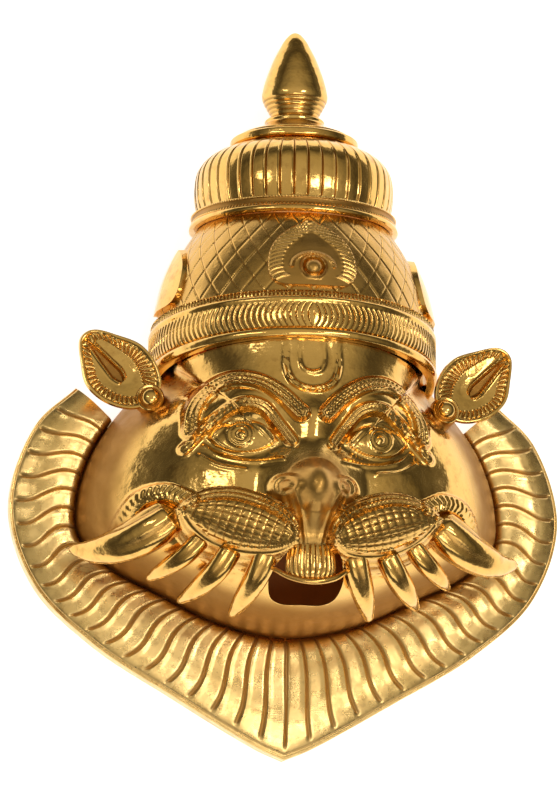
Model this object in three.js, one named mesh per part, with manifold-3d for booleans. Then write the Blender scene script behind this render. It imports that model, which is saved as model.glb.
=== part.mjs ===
// Narasimha mask: a gilt sheet-metal lion face with its crown, lying on its open back.
// Millimetres. +X is the viewer's right, +Y runs from the chin to the crown, and +Z rises from
// the surface that it lies on to the nose. The origin is under the middle of its height and width.

import * as THREE from 'three';
import { mergeVertices } from 'three/addons/utils/BufferGeometryUtils.js';
import Module from 'manifold-3d';

const wasm = await Module();
wasm.setup();

// Driving dimensions: the sheet and its joints
const SHEET = 2.2;             // wall of the raised sheet
const SEAM = 0.3;              // solder gap between two pieces

// Driving dimensions: the crown, turned about an axis that lies AXIS_Z above the table
const AXIS_Z = 20;
const FLATTEN = 0.94;          // the round sections are this much flatter from front to back
const BRIM_FRONT_Y = 10;       // lower edge of the brim above the forehead
const BRIM_RADIUS = 69;
const BRIM_HEIGHT = 23;
const BRIM_SAG = 11;           // how far the brim's ends hang below its front
const ROPE = 1.8;              // how far the rope mouldings of the brim stand out
const CONE_HEIGHT = 42.4;
const CONE_TOP_RADIUS = 47.5;
const LATTICE_RELIEF = 0.9;
const RING_HEIGHT = 7.5;
const RING_RADIUS = 50.5;
const DOME_HEIGHT = 35;
const DOME_FOOT_RADIUS = 47;
const DOME_SHOULDER_RADIUS = 49.5;
const DOME_TOP_RADIUS = 29.5;
const FLUTE_DEPTH = 1.3;
const FLUTES = 36;             // all the way round, before the back is cut away
const DISC_RADIUS = 31.5;
const DISC_HEIGHT = 5;
const NECK_HEIGHT = 12;
const NECK_RADIUS = 12.2;
const BUD_RADIUS = 17.6;
const BUD_HEIGHT = 44.3;
const CREST_WIDTH = 43;
const CREST_HEIGHT = 36;
const CREST_THICKNESS = 4.2;
const SIDE_CREST_SHARE = 0.8;  // size of the side crests beside the front one

// Driving dimensions: the face, drawn in parts of its length from brim to chin
const FACE_LENGTH = 138;
const FACE_RIM_Z = 8;          // height of the seam between the face and the mane
const FRONT_Z = 85;            // height of the brow and cheeks
const NOSE_RISE = 19;
const MUZZLE_RISE = 13;
const BROW_RISE = 4.5;
const MOUTH_HALF_WIDTH = 17.5;

// Driving dimensions: the mane
const MANE_WIDTH = 32.5;       // width of the band beside the cheeks
const SKIRT_HEIGHT = 8;
const BAND_RISE = 5;           // how far the band bulges above the skirt
const STRANDS_PER_SIDE = 21;
const STRAND_GROOVE = 1.6;     // depth of the grooves between the strands
const STRAND_SWAY = 3.5;       // sideways sway of each strand

// Driving dimensions: the ears
const EAR_LENGTH = 44;
const EAR_WIDTH = 36;
const EAR_DROOP = -3.5;        // how far the leaf hangs to one side of the line from its boss
const EAR_Z = 40;
const EAR_SHEET = 2.4;
const STUD_RADIUS = 5.4;

// One part of the face's length. Carving of the face and the mane is placed in these parts.
const PART = FACE_LENGTH / 138;
const FACE_CENTRE_Y = BRIM_FRONT_Y - 72 * PART;

const { lerp, smoothstep, clamp, degToRad } = THREE.MathUtils;
const vec = (x, y, z) => new THREE.Vector3(x, y, z);
const range = (count, make) => Array.from({ length: count }, (_, i) => make(i));
const onFace = ([x, y]) => [x * PART, BRIM_FRONT_Y + (y - 10) * PART];

// Triangles between two rows of points, which may differ in number. A row of one point is a pole.
// With a parity, rows of the same length get diagonals that turn about like a lattice.
function zip(a, b, out, parity = null) {
  let i = 0;
  let j = 0;
  while (i < a.length - 1 || j < b.length - 1) {
    const crossed = parity !== null && i === j && (i + parity) % 2 === 1;
    const stepA = (i + 1) / (a.length - 1) - (crossed ? -1e-6 : 1e-6);
    const stepB = (j + 1) / (b.length - 1);
    if (j === b.length - 1 || (i < a.length - 1 && stepA <= stepB)) {
      out.push(a[i], a[i + 1], b[j]);
      i++;
    } else {
      out.push(a[i], b[j + 1], b[j]);
      j++;
    }
  }
}

// A closed geometry from loose triangles, with its faces turned outwards.
function closedGeometry(points) {
  const kept = [];
  let volume = 0;
  for (let i = 0; i < points.length; i += 3) {
    const [a, b, c] = points.slice(i, i + 3);
    if (a.distanceTo(b) < 1e-3 || b.distanceTo(c) < 1e-3 || c.distanceTo(a) < 1e-3) continue;
    kept.push([a, b, c]);
    volume += a.dot(b.clone().cross(c));
  }
  const wound = kept.flatMap(([a, b, c]) => (volume > 0 ? [a, b, c] : [a, c, b]));
  const geometry = new THREE.BufferGeometry().setFromPoints(wound);
  return mergeVertices(geometry, 1e-3);
}

// Rings of points, from one pole to the other, joined into a closed body.
function ringBody(rings, parity = null) {
  const triangles = [];
  const closed = rings.map(ring => (ring.length > 1 ? [...ring, ring[0]] : ring));
  for (let i = 0; i + 1 < closed.length; i++) {
    zip(closed[i], closed[i + 1], triangles, parity === null ? null : parity + i);
  }
  return closedGeometry(triangles);
}

// Rows of points that run along a strip and close round its section, with flat ends.
function stripBody(rows) {
  const triangles = [];
  rows.forEach((row, i) => zip(row, rows[(i + 1) % rows.length], triangles));
  for (const end of [0, 1]) {
    const loop = rows.map(row => row[end * (row.length - 1)]);
    const along = loop.map(p => new THREE.Vector2(Math.hypot(p.x, p.y), p.z));
    for (const face of THREE.ShapeUtils.triangulateShape(along, [])) {
      const corners = face.map(k => loop[k]);
      const asDrawn = THREE.ShapeUtils.isClockWise(along) === (end === 1);
      triangles.push(...(asDrawn ? corners : corners.reverse()));
    }
  }
  return closedGeometry(triangles);
}

function solid(geometry) {
  const clean = geometry.clone();
  clean.deleteAttribute('normal');
  clean.deleteAttribute('uv');
  const merged = mergeVertices(clean, 1e-3);
  return new wasm.Manifold(new wasm.Mesh({
    numProp: 3,
    vertProperties: merged.attributes.position.array,
    triVerts: new Uint32Array(merged.index.array),
  }));
}

function geometryOf(manifold) {
  const { vertProperties, triVerts } = manifold.getMesh();
  const geometry = new THREE.BufferGeometry();
  geometry.setAttribute('position', new THREE.BufferAttribute(vertProperties, 3));
  geometry.setIndex(new THREE.BufferAttribute(triVerts, 1));
  return geometry;
}

// Everything below the table, which the open back is cut off by.
function underTable() {
  const depth = 200;
  return solid(new THREE.BoxGeometry(600, 600, depth).translate(0, 0, -depth / 2));
}

// Turned forms of the crown

const brimTopY = BRIM_FRONT_Y + BRIM_HEIGHT;
const coneTopY = brimTopY + CONE_HEIGHT;
const ringY = coneTopY + SEAM;
const domeY = ringY + RING_HEIGHT;
const discY = domeY + DOME_HEIGHT;
const neckY = discY + DISC_HEIGHT + SEAM;
const budY = neckY + NECK_HEIGHT;

// How far a point of the crown hangs lower than at the front, given its angle and front height.
function sag(angle, y) {
  const fade = clamp((coneTopY - y) / (coneTopY - BRIM_FRONT_Y), 0, 1);
  return BRIM_SAG * (1 - Math.sin(angle)) * fade ** 1.5;
}

function onCrown(angle, radius, y) {
  const z = AXIS_Z + FLATTEN * radius * Math.sin(angle);
  return vec(radius * Math.cos(angle), y - sag(angle, y), z);
}

// A body turned from [radius, y] pairs, which starts and ends on the axis.
function turned(profile, columns, relief = () => 0, parity = null) {
  const rings = profile.map(([radius, y], row) => {
    if (radius === 0) return [onCrown(Math.PI / 2, 0, y)];
    return range(columns, k => {
      const angle = (k / columns) * 2 * Math.PI;
      return onCrown(angle, radius + relief(k, row), y);
    });
  });
  return ringBody(rings, parity);
}

function coneRadius(y) {
  const bulge = 3.5 * Math.sin(Math.PI * clamp((y - brimTopY) / CONE_HEIGHT, 0, 1));
  return lerp(BRIM_RADIUS - 2.5, CONE_TOP_RADIUS, (y - brimTopY) / CONE_HEIGHT) + bulge;
}

// An arched crest with a boss low in its middle, laid on the cone at an angle, at a share of the
// front one's size.
function crest(angle, columns, share) {
  const [width, height] = [CREST_WIDTH * share, CREST_HEIGHT * share];
  const bossShare = 0.26;
  const middleY = brimTopY + 1 + height * bossShare;
  const levels = [[0, 1.3], [0.2, 1.1], [0.26, 0.6], [0.62, 0.6], [0.7, 1], [1, 0.7], [1, -0.4]];
  const place = (k, scale, rise) => {
    const turn = (k / columns) * 2 * Math.PI;
    const up = Math.sin(turn);
    const side = Math.cos(turn);
    const spread = up > 0 ? side * (1 - 0.56 * up ** 4) : Math.sign(side) * Math.abs(side) ** 0.4;
    const across = 0.5 * width * spread * scale;
    const y = middleY + height * (up > 0 ? 1 - bossShare : bossShare) * up * scale;
    const radius = coneRadius(y);
    const flute = rise === 1 && scale > 0.5 && k % 2 ? 0.7 : 1;
    return onCrown(angle - across / radius, radius + CREST_THICKNESS * rise * flute, y);
  };
  const rings = levels.map(([scale, rise]) => (
    scale === 0 ? [place(0, 0, rise)] : range(columns, k => place(k, scale, rise))
  ));
  rings.push([place(0, 0, -0.4)]);
  return solid(ringBody(rings));
}

function crownSolid() {
  const brimColumns = 64;
  const mouldings = [[0, 0], [ROPE, 2.2], [0, 4.6], [1.2, 10.7], [0, 16.8], [ROPE, 19.2], [-0.5, 23]];
  const fluted = new Set([3, 4, 5]);
  const brimProfile = [
    [0, BRIM_FRONT_Y],
    ...mouldings.map(([out, up]) => [BRIM_RADIUS + out, BRIM_FRONT_Y + (up / 23) * BRIM_HEIGHT]),
    [0, brimTopY],
  ];
  const brim = solid(turned(brimProfile, brimColumns, (k, row) => (
    fluted.has(row) && k % 2 ? -FLUTE_DEPTH : 0
  )));
  const latticeRows = 5;
  const latticeColumns = 72;
  const coneProfile = range(latticeRows + 1, i => {
    const y = lerp(brimTopY, coneTopY, i / latticeRows);
    return [coneRadius(y), y];
  });
  const coneFoot = [0, brimTopY - 2];
  const cone = solid(turned([coneFoot, [BRIM_RADIUS - 2.5, brimTopY - 2], ...coneProfile, [0, coneTopY]], latticeColumns,
    (k, row) => (row > 2 && row < latticeRows + 2 && (k + row) % 2 ? -LATTICE_RELIEF : 0), 1));
  const hollow = solid(turned([
    [0, BRIM_FRONT_Y - 20],
    [BRIM_RADIUS - SHEET - FLUTE_DEPTH, BRIM_FRONT_Y - 20],
    [BRIM_RADIUS - SHEET - FLUTE_DEPTH, BRIM_FRONT_Y + 17],
    [coneRadius(brimTopY + 6) - SHEET - LATTICE_RELIEF, brimTopY + 6],
    [coneRadius(brimTopY + 20) - SHEET - LATTICE_RELIEF, brimTopY + 20],
    [CONE_TOP_RADIUS - SHEET - LATTICE_RELIEF, coneTopY],
    [CONE_TOP_RADIUS - SHEET - LATTICE_RELIEF, coneTopY + 5],
    [0, coneTopY + 5],
  ], 48));
  const front = crest(Math.PI / 2, 20, 1);
  const sides = [12, 168].map(degrees => crest(degToRad(degrees), 12, SIDE_CREST_SHARE));
  const outer = sides.reduce((body, side) => body.add(side), brim.add(cone).add(front));
  return outer.subtract(hollow).subtract(faceEnvelope(SEAM)).subtract(underTable());
}

function crownCapSolid() {
  const columns = 2 * FLUTES;
  const shoulderY = domeY + 0.6 * DOME_HEIGHT;
  const profile = [
    [0, ringY],
    [RING_RADIUS - 1.5, ringY],
    [RING_RADIUS, ringY + 0.5 * RING_HEIGHT],
    [DOME_FOOT_RADIUS - 1, domeY],
    [lerp(DOME_FOOT_RADIUS, DOME_SHOULDER_RADIUS, 0.6), domeY + 0.3 * DOME_HEIGHT],
    [DOME_SHOULDER_RADIUS, shoulderY],
    [lerp(DOME_TOP_RADIUS, DOME_SHOULDER_RADIUS, 0.72), lerp(discY, shoulderY, 0.4)],
    [DOME_TOP_RADIUS, discY],
    [DISC_RADIUS, discY + 0.6],
    [DISC_RADIUS, discY + DISC_HEIGHT],
    [0, discY + DISC_HEIGHT],
  ];
  const outer = solid(turned(profile, columns, (k, row) => {
    if (row === 1 && k % 2) return -1.2;
    return row > 3 && row < 7 && k % 2 ? -FLUTE_DEPTH : 0;
  }));
  const inset = SHEET + FLUTE_DEPTH;
  const hollow = solid(turned([
    [0, ringY - 5],
    [CONE_TOP_RADIUS - SHEET - LATTICE_RELIEF, ringY - 5],
    [DOME_FOOT_RADIUS - inset, domeY],
    [DOME_SHOULDER_RADIUS - inset, shoulderY],
    [lerp(DOME_TOP_RADIUS, DOME_SHOULDER_RADIUS, 0.72) - inset, lerp(discY, shoulderY, 0.4) - SHEET],
    [DOME_TOP_RADIUS - inset, discY - SHEET],
    [0, discY - SHEET],
  ], 24));
  return outer.subtract(hollow).subtract(underTable());
}

// The lotus bud, as shares of its radius and height
const BUD_SHAPE = [[0.93, 0.05], [1, 0.18], [0.98, 0.32], [0.88, 0.5], [0.68, 0.7], [0.4, 0.88], [0.17, 0.97], [0, 1]];

function finialSolid() {
  const bud = BUD_SHAPE.map(([out, up]) => [BUD_RADIUS * out, budY + BUD_HEIGHT * up]);
  const profile = [
    [0, neckY],
    [DISC_RADIUS - 3.5, neckY],
    [DISC_RADIUS - 3.5, neckY + 1.2],
    [DISC_RADIUS - 7, neckY + 2.4],
    [DISC_RADIUS - 13.5, neckY + 5.5],
    [NECK_RADIUS + 2.4, neckY + 8],
    [NECK_RADIUS + 2, neckY + NECK_HEIGHT - 1.5],
    [NECK_RADIUS, budY],
    ...bud,
  ];
  return solid(turned(profile, 16)).subtract(underTable());
}

// The face

// The arch under the brim that the top of the face is bent to
const ARCH_RADIUS = BRIM_RADIUS - SHEET - FLUTE_DEPTH - SEAM;

const ARCH_POINTS = 11;

// Its rim runs down from the arch's end, past the ear, and round the cheek to the chin.
const CHEEK_RIM = [[76, -7, 14], [86, -19, 9], [96, -36, 8], [102, -57, 8], [101, -75, 8],
  [86, -90, 8], [62, -102, 8], [34, -115, 8], [0, -121.5, 8]];

function faceRim() {
  const arch = range(ARCH_POINTS, i => (
    onCrown((i / (ARCH_POINTS - 1)) * Math.PI, ARCH_RADIUS, BRIM_FRONT_Y + 4)
  ));
  const left = CHEEK_RIM.map(([x, y, z]) => {
    const [px, py] = onFace([x, y]);
    return vec(-px, py, z - 8 + FACE_RIM_Z);
  });
  const right = left.slice(0, -1).reverse().map(p => vec(-p.x, p.y, p.z));
  return new THREE.CatmullRomCurve3([...arch, ...left, ...right], true, 'centripetal');
}

function distanceToLine(x, y, line) {
  let best = Infinity;
  for (let i = 0; i + 1 < line.length; i++) {
    const [[ax, ay], [bx, by]] = [line[i], line[i + 1]];
    const along = ((x - ax) * (bx - ax) + (y - ay) * (by - ay)) / ((bx - ax) ** 2 + (by - ay) ** 2);
    const t = clamp(along, 0, 1);
    best = Math.min(best, Math.hypot(x - lerp(ax, bx, t), y - lerp(ay, by, t)));
  }
  return best;
}

const ridge = (x, y, line, width) => Math.exp(-((distanceToLine(x, y, line) / width) ** 2));
const mound = (x, y, [cx, cy], [rx, ry]) => Math.max(0, 1 - ((x - cx) / rx) ** 2 - ((y - cy) / ry) ** 2);

// How full the muzzle pad is at a point: an almond between two corners, 1 at its crest.
function muzzlePad(x, y) {
  const [inner, outer] = [[9, -88], [63, -73]];
  const length = Math.hypot(outer[0] - inner[0], outer[1] - inner[1]);
  const [ux, uy] = [(outer[0] - inner[0]) / length, (outer[1] - inner[1]) / length];
  const u = (2 * ((x - inner[0]) * ux + (y - inner[1]) * uy)) / length - 1;
  const v = (y - inner[1]) * ux - (x - inner[0]) * uy;
  const half = (v > 0 ? 19 : 16) * Math.max(0, 1 - u * u) ** 0.6;
  return half > 0 ? Math.max(0, 1 - (v / half) ** 2) : 0;
}

const BROW = [[5.5, -28], [16, -16.5], [36.5, -7.5], [51.5, -18.5], [56.5, -35.5]];
const EYELID = [[12, -40], [20, -29], [34, -22.5], [45, -26], [52, -34], [57, -43]];
const NAMAM = [[11, 8], [11, -5], [7, -12], [0, -15]];

// The large forms, which the back of the sheet follows too. x and y are in parts.
function largeForms(x, y) {
  const nose = 0.55 * NOSE_RISE * Math.sqrt(mound(x, y, [0, -61], [19, 16])) ** 1.5;
  const bridge = 5 * ridge(x, y, [[0, -28], [0, -54]], 6);
  const lip = 5 * ridge(x, y, [[0, -68], [0, -84]], 8);
  const muzzle = 0.7 * MUZZLE_RISE * muzzlePad(x, y);
  const socket = -5 * mound(x, y, [33, -36], [25, 16]);
  return nose + bridge + lip + muzzle + socket;
}

// The carving that stands on the large forms. x and y are in parts, x from the middle line.
function carving(x, y) {
  const nose = 0.45 * NOSE_RISE * Math.sqrt(mound(x, y, [0, -61], [13, 11.5]));
  const nostril = 6 * Math.sqrt(mound(x, y, [14, -63], [6.5, 5.5]));
  const muzzle = 0.3 * MUZZLE_RISE * Math.sqrt(muzzlePad(x, y));
  const brow = BROW_RISE * ridge(x, y, BROW, 3.8);
  const lid = 3 * ridge(x, y, EYELID, 2.8);
  const eye = 5.5 * Math.sqrt(mound(x, y, [32, -37.5], [15.5, 7.5]));
  const namam = 1.8 * ridge(x, y, NAMAM, 2.6);
  return nose + nostril + muzzle + brow + lid + eye + namam;
}

const RIM = faceRim();

// A point of the face. around runs along the rim from 0 to 1, out from 0 at the nose to 1.
function facePoint(around, out, withCarving) {
  const rim = RIM.getPoint(around);
  const x = rim.x * out;
  const y = lerp(FACE_CENTRE_Y, rim.y, out);
  const side = Math.min(1, Math.abs(x) / ARCH_RADIUS);
  const arch = AXIS_Z + FLATTEN * ARCH_RADIUS * Math.sqrt(1 - side * side);
  const front = FRONT_Z - 9 * (x / (60 * PART)) ** 2;
  const ceiling = lerp(front, arch, smoothstep(y, BRIM_FRONT_Y - 40 * PART, BRIM_FRONT_Y + 2));
  const dome = Math.sqrt(Math.max(0, 1 - out ** 3));
  const [px, py] = [Math.abs(x) / PART, 10 + (y - BRIM_FRONT_Y) / PART];
  const fade = Math.min(1, 4 * (1 - out));
  const forms = largeForms(px, py) + (withCarving ? carving(px, py) : 0);
  return vec(x, y, rim.z + (ceiling - rim.z) * dome + forms * fade);
}

// The outward direction of the sheet, taken from its large forms.
function faceNormal(around, out) {
  const step = 0.01;
  const low = Math.max(0.02, out - step);
  const high = Math.min(0.999, out + step);
  const a = facePoint((around + 1 - step) % 1, (low + high) / 2, false);
  const b = facePoint((around + step) % 1, (low + high) / 2, false);
  const radial = facePoint(around, high, false).sub(facePoint(around, low, false));
  return radial.cross(b.sub(a)).normalize();
}

function faceRing(columns, out, offset, withCarving) {
  return range(columns, k => {
    const around = k / columns;
    const point = facePoint(around, out, withCarving);
    return point.addScaledVector(faceNormal(around, out), offset);
  });
}

// Rings of the face, as [share of the way out, columns]: close together where the carving is.
const FACE_RINGS = [
  [0.045, 14], [0.09, 28], [0.13, 42], [0.17, 56],
  ...range(13, i => [0.21 + 0.04 * i, 84]),
  [0.75, 56], [0.82, 56], [0.89, 56], [0.95, 56], [1, 56],
];
const BACK_RINGS = [[1, 28], [0.96, 28], [0.88, 28], [0.76, 28], [0.62, 28], [0.48, 28], [0.34, 28],
  [0.2, 28], [0.1, 14]];

function faceSheet() {
  const nose = facePoint(0, 0, true);
  const front = FACE_RINGS.map(([out, columns]) => faceRing(columns, out, 0, true));
  const back = BACK_RINGS.map(([out, columns]) => faceRing(columns, out, -SHEET, false));
  const behindNose = facePoint(0, 0, false).add(vec(0, 0, -SHEET));
  return solid(ringBody([[nose], ...front, ...back, [behindNose]]));
}

// The face as a filled body that stands on the table, grown by a gap on all sides.
function faceEnvelope(gap) {
  const rings = [[facePoint(0, 0, true).add(vec(0, 0, gap))]];
  rings.push(...FACE_RINGS.map(([out, columns]) => faceRing(columns, out, gap, true)));
  const skirt = rings[rings.length - 1].map(p => {
    const away = vec(p.x, p.y - FACE_CENTRE_Y, 0).normalize();
    return p.clone().addScaledVector(away, gap);
  });
  rings.push(skirt, skirt.map(p => vec(p.x, p.y, -10)));
  rings.push([vec(0, FACE_CENTRE_Y, -10)]);
  return solid(ringBody(rings));
}

// A tapering horn along a curve. Its spine is in parts, with z in millimetres.
function horn(spine, radii, sides, steps) {
  const points = spine.map(([x, y, z]) => vec(...onFace([x, y]), z));
  const curve = new THREE.CatmullRomCurve3(points);
  const frames = curve.computeFrenetFrames(steps, false);
  const rings = [[curve.getPointAt(0)]];
  for (let i = 0; i < steps; i++) {
    const t = i / steps;
    const station = t * (radii.length - 1);
    const index = Math.floor(station);
    const radius = PART * lerp(radii[index], radii[index + 1] ?? 0, station - index);
    rings.push(range(sides, k => {
      const turn = (k / sides) * 2 * Math.PI;
      return curve.getPointAt(t)
        .addScaledVector(frames.normals[i], radius * Math.cos(turn))
        .addScaledVector(frames.binormals[i], radius * Math.sin(turn));
    }));
  }
  rings.push([curve.getPointAt(1)]);
  return solid(ringBody(rings));
}

const TUSK = { spine: [[60, -71, 66], [70, -79, 62], [84, -86, 54], [97, -88, 44], [108, -86, 36]],
  radii: [8, 10, 8.8, 6, 1.8], sides: 8, steps: 7 };
const FANGS = [
  { spine: [[21, -93, 80], [25, -104, 74], [31, -112, 62], [35, -116, 51]], radii: [5.6, 6.2, 4.8, 1.5] },
  { spine: [[38, -94, 77], [44, -102, 70], [51, -107, 58], [57, -109, 46]], radii: [5, 5.4, 4.2, 1.4] },
  { spine: [[51, -88, 73], [58, -94, 68], [66, -98, 58], [71, -99, 48]], radii: [4.4, 4.8, 3.8, 1.3] },
];

// The front teeth: a fluted half-round tongue of metal that hangs from the upper lip.
function frontTeeth() {
  const columns = 14;
  const [[, topY], [, bottomY]] = [onFace([0, -86]), onFace([0, -105])];
  const ring = (scale, z) => range(columns, k => {
    const turn = (k / columns) * 2 * Math.PI;
    const flute = k % 2 ? 0.9 : 1;
    const y = lerp(topY, bottomY, 0.5) - 0.5 * (topY - bottomY) * Math.sin(turn) * scale * flute;
    return vec(12.5 * PART * Math.cos(turn) * scale * flute, y, z);
  });
  const z = FRONT_Z - 8;
  const middle = lerp(topY, bottomY, 0.5);
  return solid(ringBody([[vec(0, middle, z + 13)], ring(0.5, z + 12), ring(0.88, z + 8), ring(1, z + 3),
    ring(0.9, z), [vec(0, middle, z)]]));
}

function mouthCutter() {
  const outline = [[0, -90], [9, -90.5], [15, -96], [MOUTH_HALF_WIDTH / PART, -101], [15.5, -109],
    [10, -111.8], [0, -112.2]];
  const left = outline.slice(1, -1).reverse().map(([x, y]) => [-x, y]);
  const points = [...outline, ...left].map(p => new THREE.Vector2(...onFace(p)));
  return solid(new THREE.ExtrudeGeometry(new THREE.Shape(points), { depth: 300, bevelEnabled: false }));
}

const mirrorX = manifold => manifold.mirror([1, 0, 0]);

function faceSolid() {
  let body = faceSheet().subtract(mouthCutter()).add(frontTeeth());
  for (const { spine, radii, sides = 6, steps = 5 } of [TUSK, ...FANGS]) {
    const right = horn(spine, radii, sides, steps);
    body = body.add(right).add(mirrorX(right));
  }
  return body;
}

// The mane

const MANE_OUTER = [[104, -3], [123, -22], [134.5, -61], [122, -99], [93, -127], [54, -151], [13, -174.5], [0, -180]];

function maneOuterCurve() {
  return new THREE.CatmullRomCurve3(MANE_OUTER.map(p => vec(...onFace(p), 0)), false, 'centripetal');
}

// The stretch of the face's rim that the mane is soldered to, from below the ear to the chin.
function maneInnerCurve() {
  const corners = ARCH_POINTS + 2 * CHEEK_RIM.length - 1;
  const [ear, chin] = [ARCH_POINTS + 1, ARCH_POINTS + CHEEK_RIM.length - 1];
  const samples = 56;
  return new THREE.CatmullRomCurve3(range(samples + 1, i => {
    const point = RIM.getPoint(lerp(ear, chin, i / samples) / corners);
    return vec(-point.x, point.y, 0);
  }));
}

// How far a strand's outer end runs ahead of its inner end, as a share of the mane's length: towards
// the chin beside the cheek, and back towards the ear below it.
function lean(along) {
  const turning = 0.42;
  return along < turning
    ? 0.03 * Math.sin((Math.PI * along) / turning)
    : -0.07 * Math.sin((Math.PI * (along - turning)) / (1 - turning));
}

// A point of the mane: along from 0 at the ear to 1 at the chin, across from 0 outside to 1 inside.
function manePoint(inner, outer, along, across, z) {
  const sway = (STRAND_SWAY / 270) * Math.sin(2 * Math.PI * across) * Math.sin(Math.PI * along) ** 0.5;
  const half = 0.5 * lean(along);
  const seam = inner.getPointAt(clamp(along + sway - half, 0, 1));
  const out = vec(0, FACE_CENTRE_Y, 0).sub(seam).normalize().multiplyScalar(-1.5 * SEAM);
  const seat = seam.clone().add(out);
  const edge = seat.clone().lerp(outer.getPointAt(clamp(along + sway + half, 0, 1)), MANE_WIDTH / 32.5);
  return edge.lerp(seat, across).setZ(z);
}

function maneSolid() {
  const inner = maneInnerCurve();
  const outer = maneOuterCurve();
  const underStep = 3;
  const columns = 3 * STRANDS_PER_SIDE;
  const bandZ = across => SKIRT_HEIGHT + 1.2 + BAND_RISE * Math.sin(Math.PI * clamp(across, 0, 1)) ** 0.8;
  const skirtIn = SHEET / MANE_WIDTH;
  const seatZ = FACE_RIM_Z;
  const lines = [
    { across: 0, z: 0 },
    { across: 0, z: SKIRT_HEIGHT },
    { across: 0.05, z: SKIRT_HEIGHT + 1.8 },
    { across: 0.16, z: bandZ(0.16), groove: true },
    { across: 0.38, z: bandZ(0.38), groove: true },
    { across: 0.62, z: bandZ(0.62), groove: true },
    { across: 0.86, z: bandZ(0.74), groove: true },
    { across: 1, z: seatZ },
    { across: 1, z: seatZ - SHEET, under: true },
    { across: 0.8, z: bandZ(0.74) - SHEET - STRAND_GROOVE, under: true },
    { across: 0.45, z: bandZ(0.45) - SHEET - STRAND_GROOVE, under: true },
    { across: skirtIn, z: SKIRT_HEIGHT - SHEET, under: true },
    { across: skirtIn, z: 0, under: true },
  ];
  const rows = lines.map(({ across, z, groove, under }) => {
    const step = under ? underStep : 1;
    const side = range(columns / step + 1, k => {
      const column = k * step;
      const lowered = groove && column % 3 === 0 && column > 0 ? STRAND_GROOVE : 0;
      const nudge = under ? 0 : [0, -0.62, 0.62][column % 3];
      const along = (column + nudge) / columns;
      return manePoint(inner, outer, along, across, z - lowered);
    });
    return [...side, ...side.slice(0, -1).reverse().map(p => vec(-p.x, p.y, p.z))];
  });
  return solid(stripBody(rows));
}

// The ears

// A leaf with a fluted rim and a hollow in the middle, on its own axis from the boss to the tip.
// side is 1 for the viewer's right and -1 for the left.
function earSolid(side) {
  const columns = 20;
  const [baseX, baseY] = onFace([71.5, -13.5]);
  const [tipX, tipY] = onFace([102.5, 15]);
  const turn = Math.atan2(tipY - baseY, tipX - baseX);
  const place = (u, v, height) => vec(
    baseX + u * Math.cos(turn) - v * Math.sin(turn),
    baseY + u * Math.sin(turn) + v * Math.cos(turn),
    EAR_Z - 0.12 * u + height,
  );
  const outline = (k, scale, height) => {
    const angle = (k / columns) * 2 * Math.PI;
    const forward = Math.cos(angle);
    const u = EAR_LENGTH * (0.42 + (forward > 0 ? 0.58 : 0.42) * forward * scale);
    const pinch = forward > 0 ? 1 - 0.5 * forward ** 2 : 1;
    const v = 0.5 * EAR_WIDTH * Math.sin(angle) * pinch * scale;
    return place(u, v + EAR_DROOP, height);
  };
  const ring = (scale, height, flute = 0) => (
    range(columns, k => outline(k, scale, height - (k % 2 ? flute : 0)))
  );
  const leaf = ringBody([
    [place(0.42 * EAR_LENGTH, EAR_DROOP, -1.5)],
    ring(0.3, -0.5), ring(0.62, 1.2), ring(0.72, 3.4, 0.4), ring(0.95, 3.6, 1.4), ring(1, 1.6),
    ring(0.96, 1.6 - EAR_SHEET), ring(0.6, -0.8 - EAR_SHEET),
    [place(0.42 * EAR_LENGTH, EAR_DROOP, -1.5 - EAR_SHEET)],
  ]);
  const studColumns = 10;
  const studRing = (radius, height) => range(studColumns, k => {
    const angle = (k / studColumns) * 2 * Math.PI;
    return place(radius * Math.cos(angle), radius * Math.sin(angle), height);
  });
  const stud = ringBody([[place(0, 0, 8.5)], studRing(0.55 * STUD_RADIUS, 7.6), studRing(STUD_RADIUS, 4.6),
    studRing(STUD_RADIUS + 1.4, 3.4), studRing(STUD_RADIUS + 1.4, -6), [place(0, 0, -6)]]);
  const raised = solid(leaf).add(solid(stud));
  const turnedOver = side < 0 ? mirrorX(raised) : raised;
  return turnedOver.subtract(faceEnvelope(SEAM)).subtract(crownEnvelope());
}

// The brim and the cone as one filled body, grown by the seam.
function crownEnvelope() {
  const grown = ROPE + SEAM;
  return solid(turned([
    [0, BRIM_FRONT_Y - SEAM],
    [BRIM_RADIUS + grown, BRIM_FRONT_Y - SEAM],
    [BRIM_RADIUS + grown, brimTopY + SEAM],
    [0, brimTopY + SEAM],
  ], 96));
}

// The finished mask

const polished = new THREE.MeshStandardMaterial({ color: 0xd9a441, roughness: 0.18, metalness: 1 });
const satin = new THREE.MeshStandardMaterial({ color: 0xd3ab4e, roughness: 0.38, metalness: 1 });

const mask = new THREE.Group();
const pieces = [
  ['mane_collar', maneSolid(), satin],
  ['face', faceSolid(), polished],
  ['crown', crownSolid(), polished],
  ['crown_cap', crownCapSolid(), polished],
  ['finial', finialSolid(), polished],
  ['ear_left', earSolid(-1), polished],
  ['ear_right', earSolid(1), polished],
];
for (const [name, body, material] of pieces) {
  const mesh = new THREE.Mesh(geometryOf(body), material);
  mesh.name = name;
  mask.add(mesh);
}

export default mask;
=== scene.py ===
"""Narasimha mask: the finished look of a gilt sheet-metal lion face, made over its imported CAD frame.

Sizes are in millimetres and are turned to metres where a mesh is made. +X is the viewer's right,
+Y runs from the chin to the crown, and +Z rises from the surface that the mask lies on.
The numbers inside a relief function are its own heights, widths and pitches in millimetres, or shares
of the stretch that it is given.
"""
import math

import bmesh
import bpy
import numpy as np
from mathutils import Matrix, Vector


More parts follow.
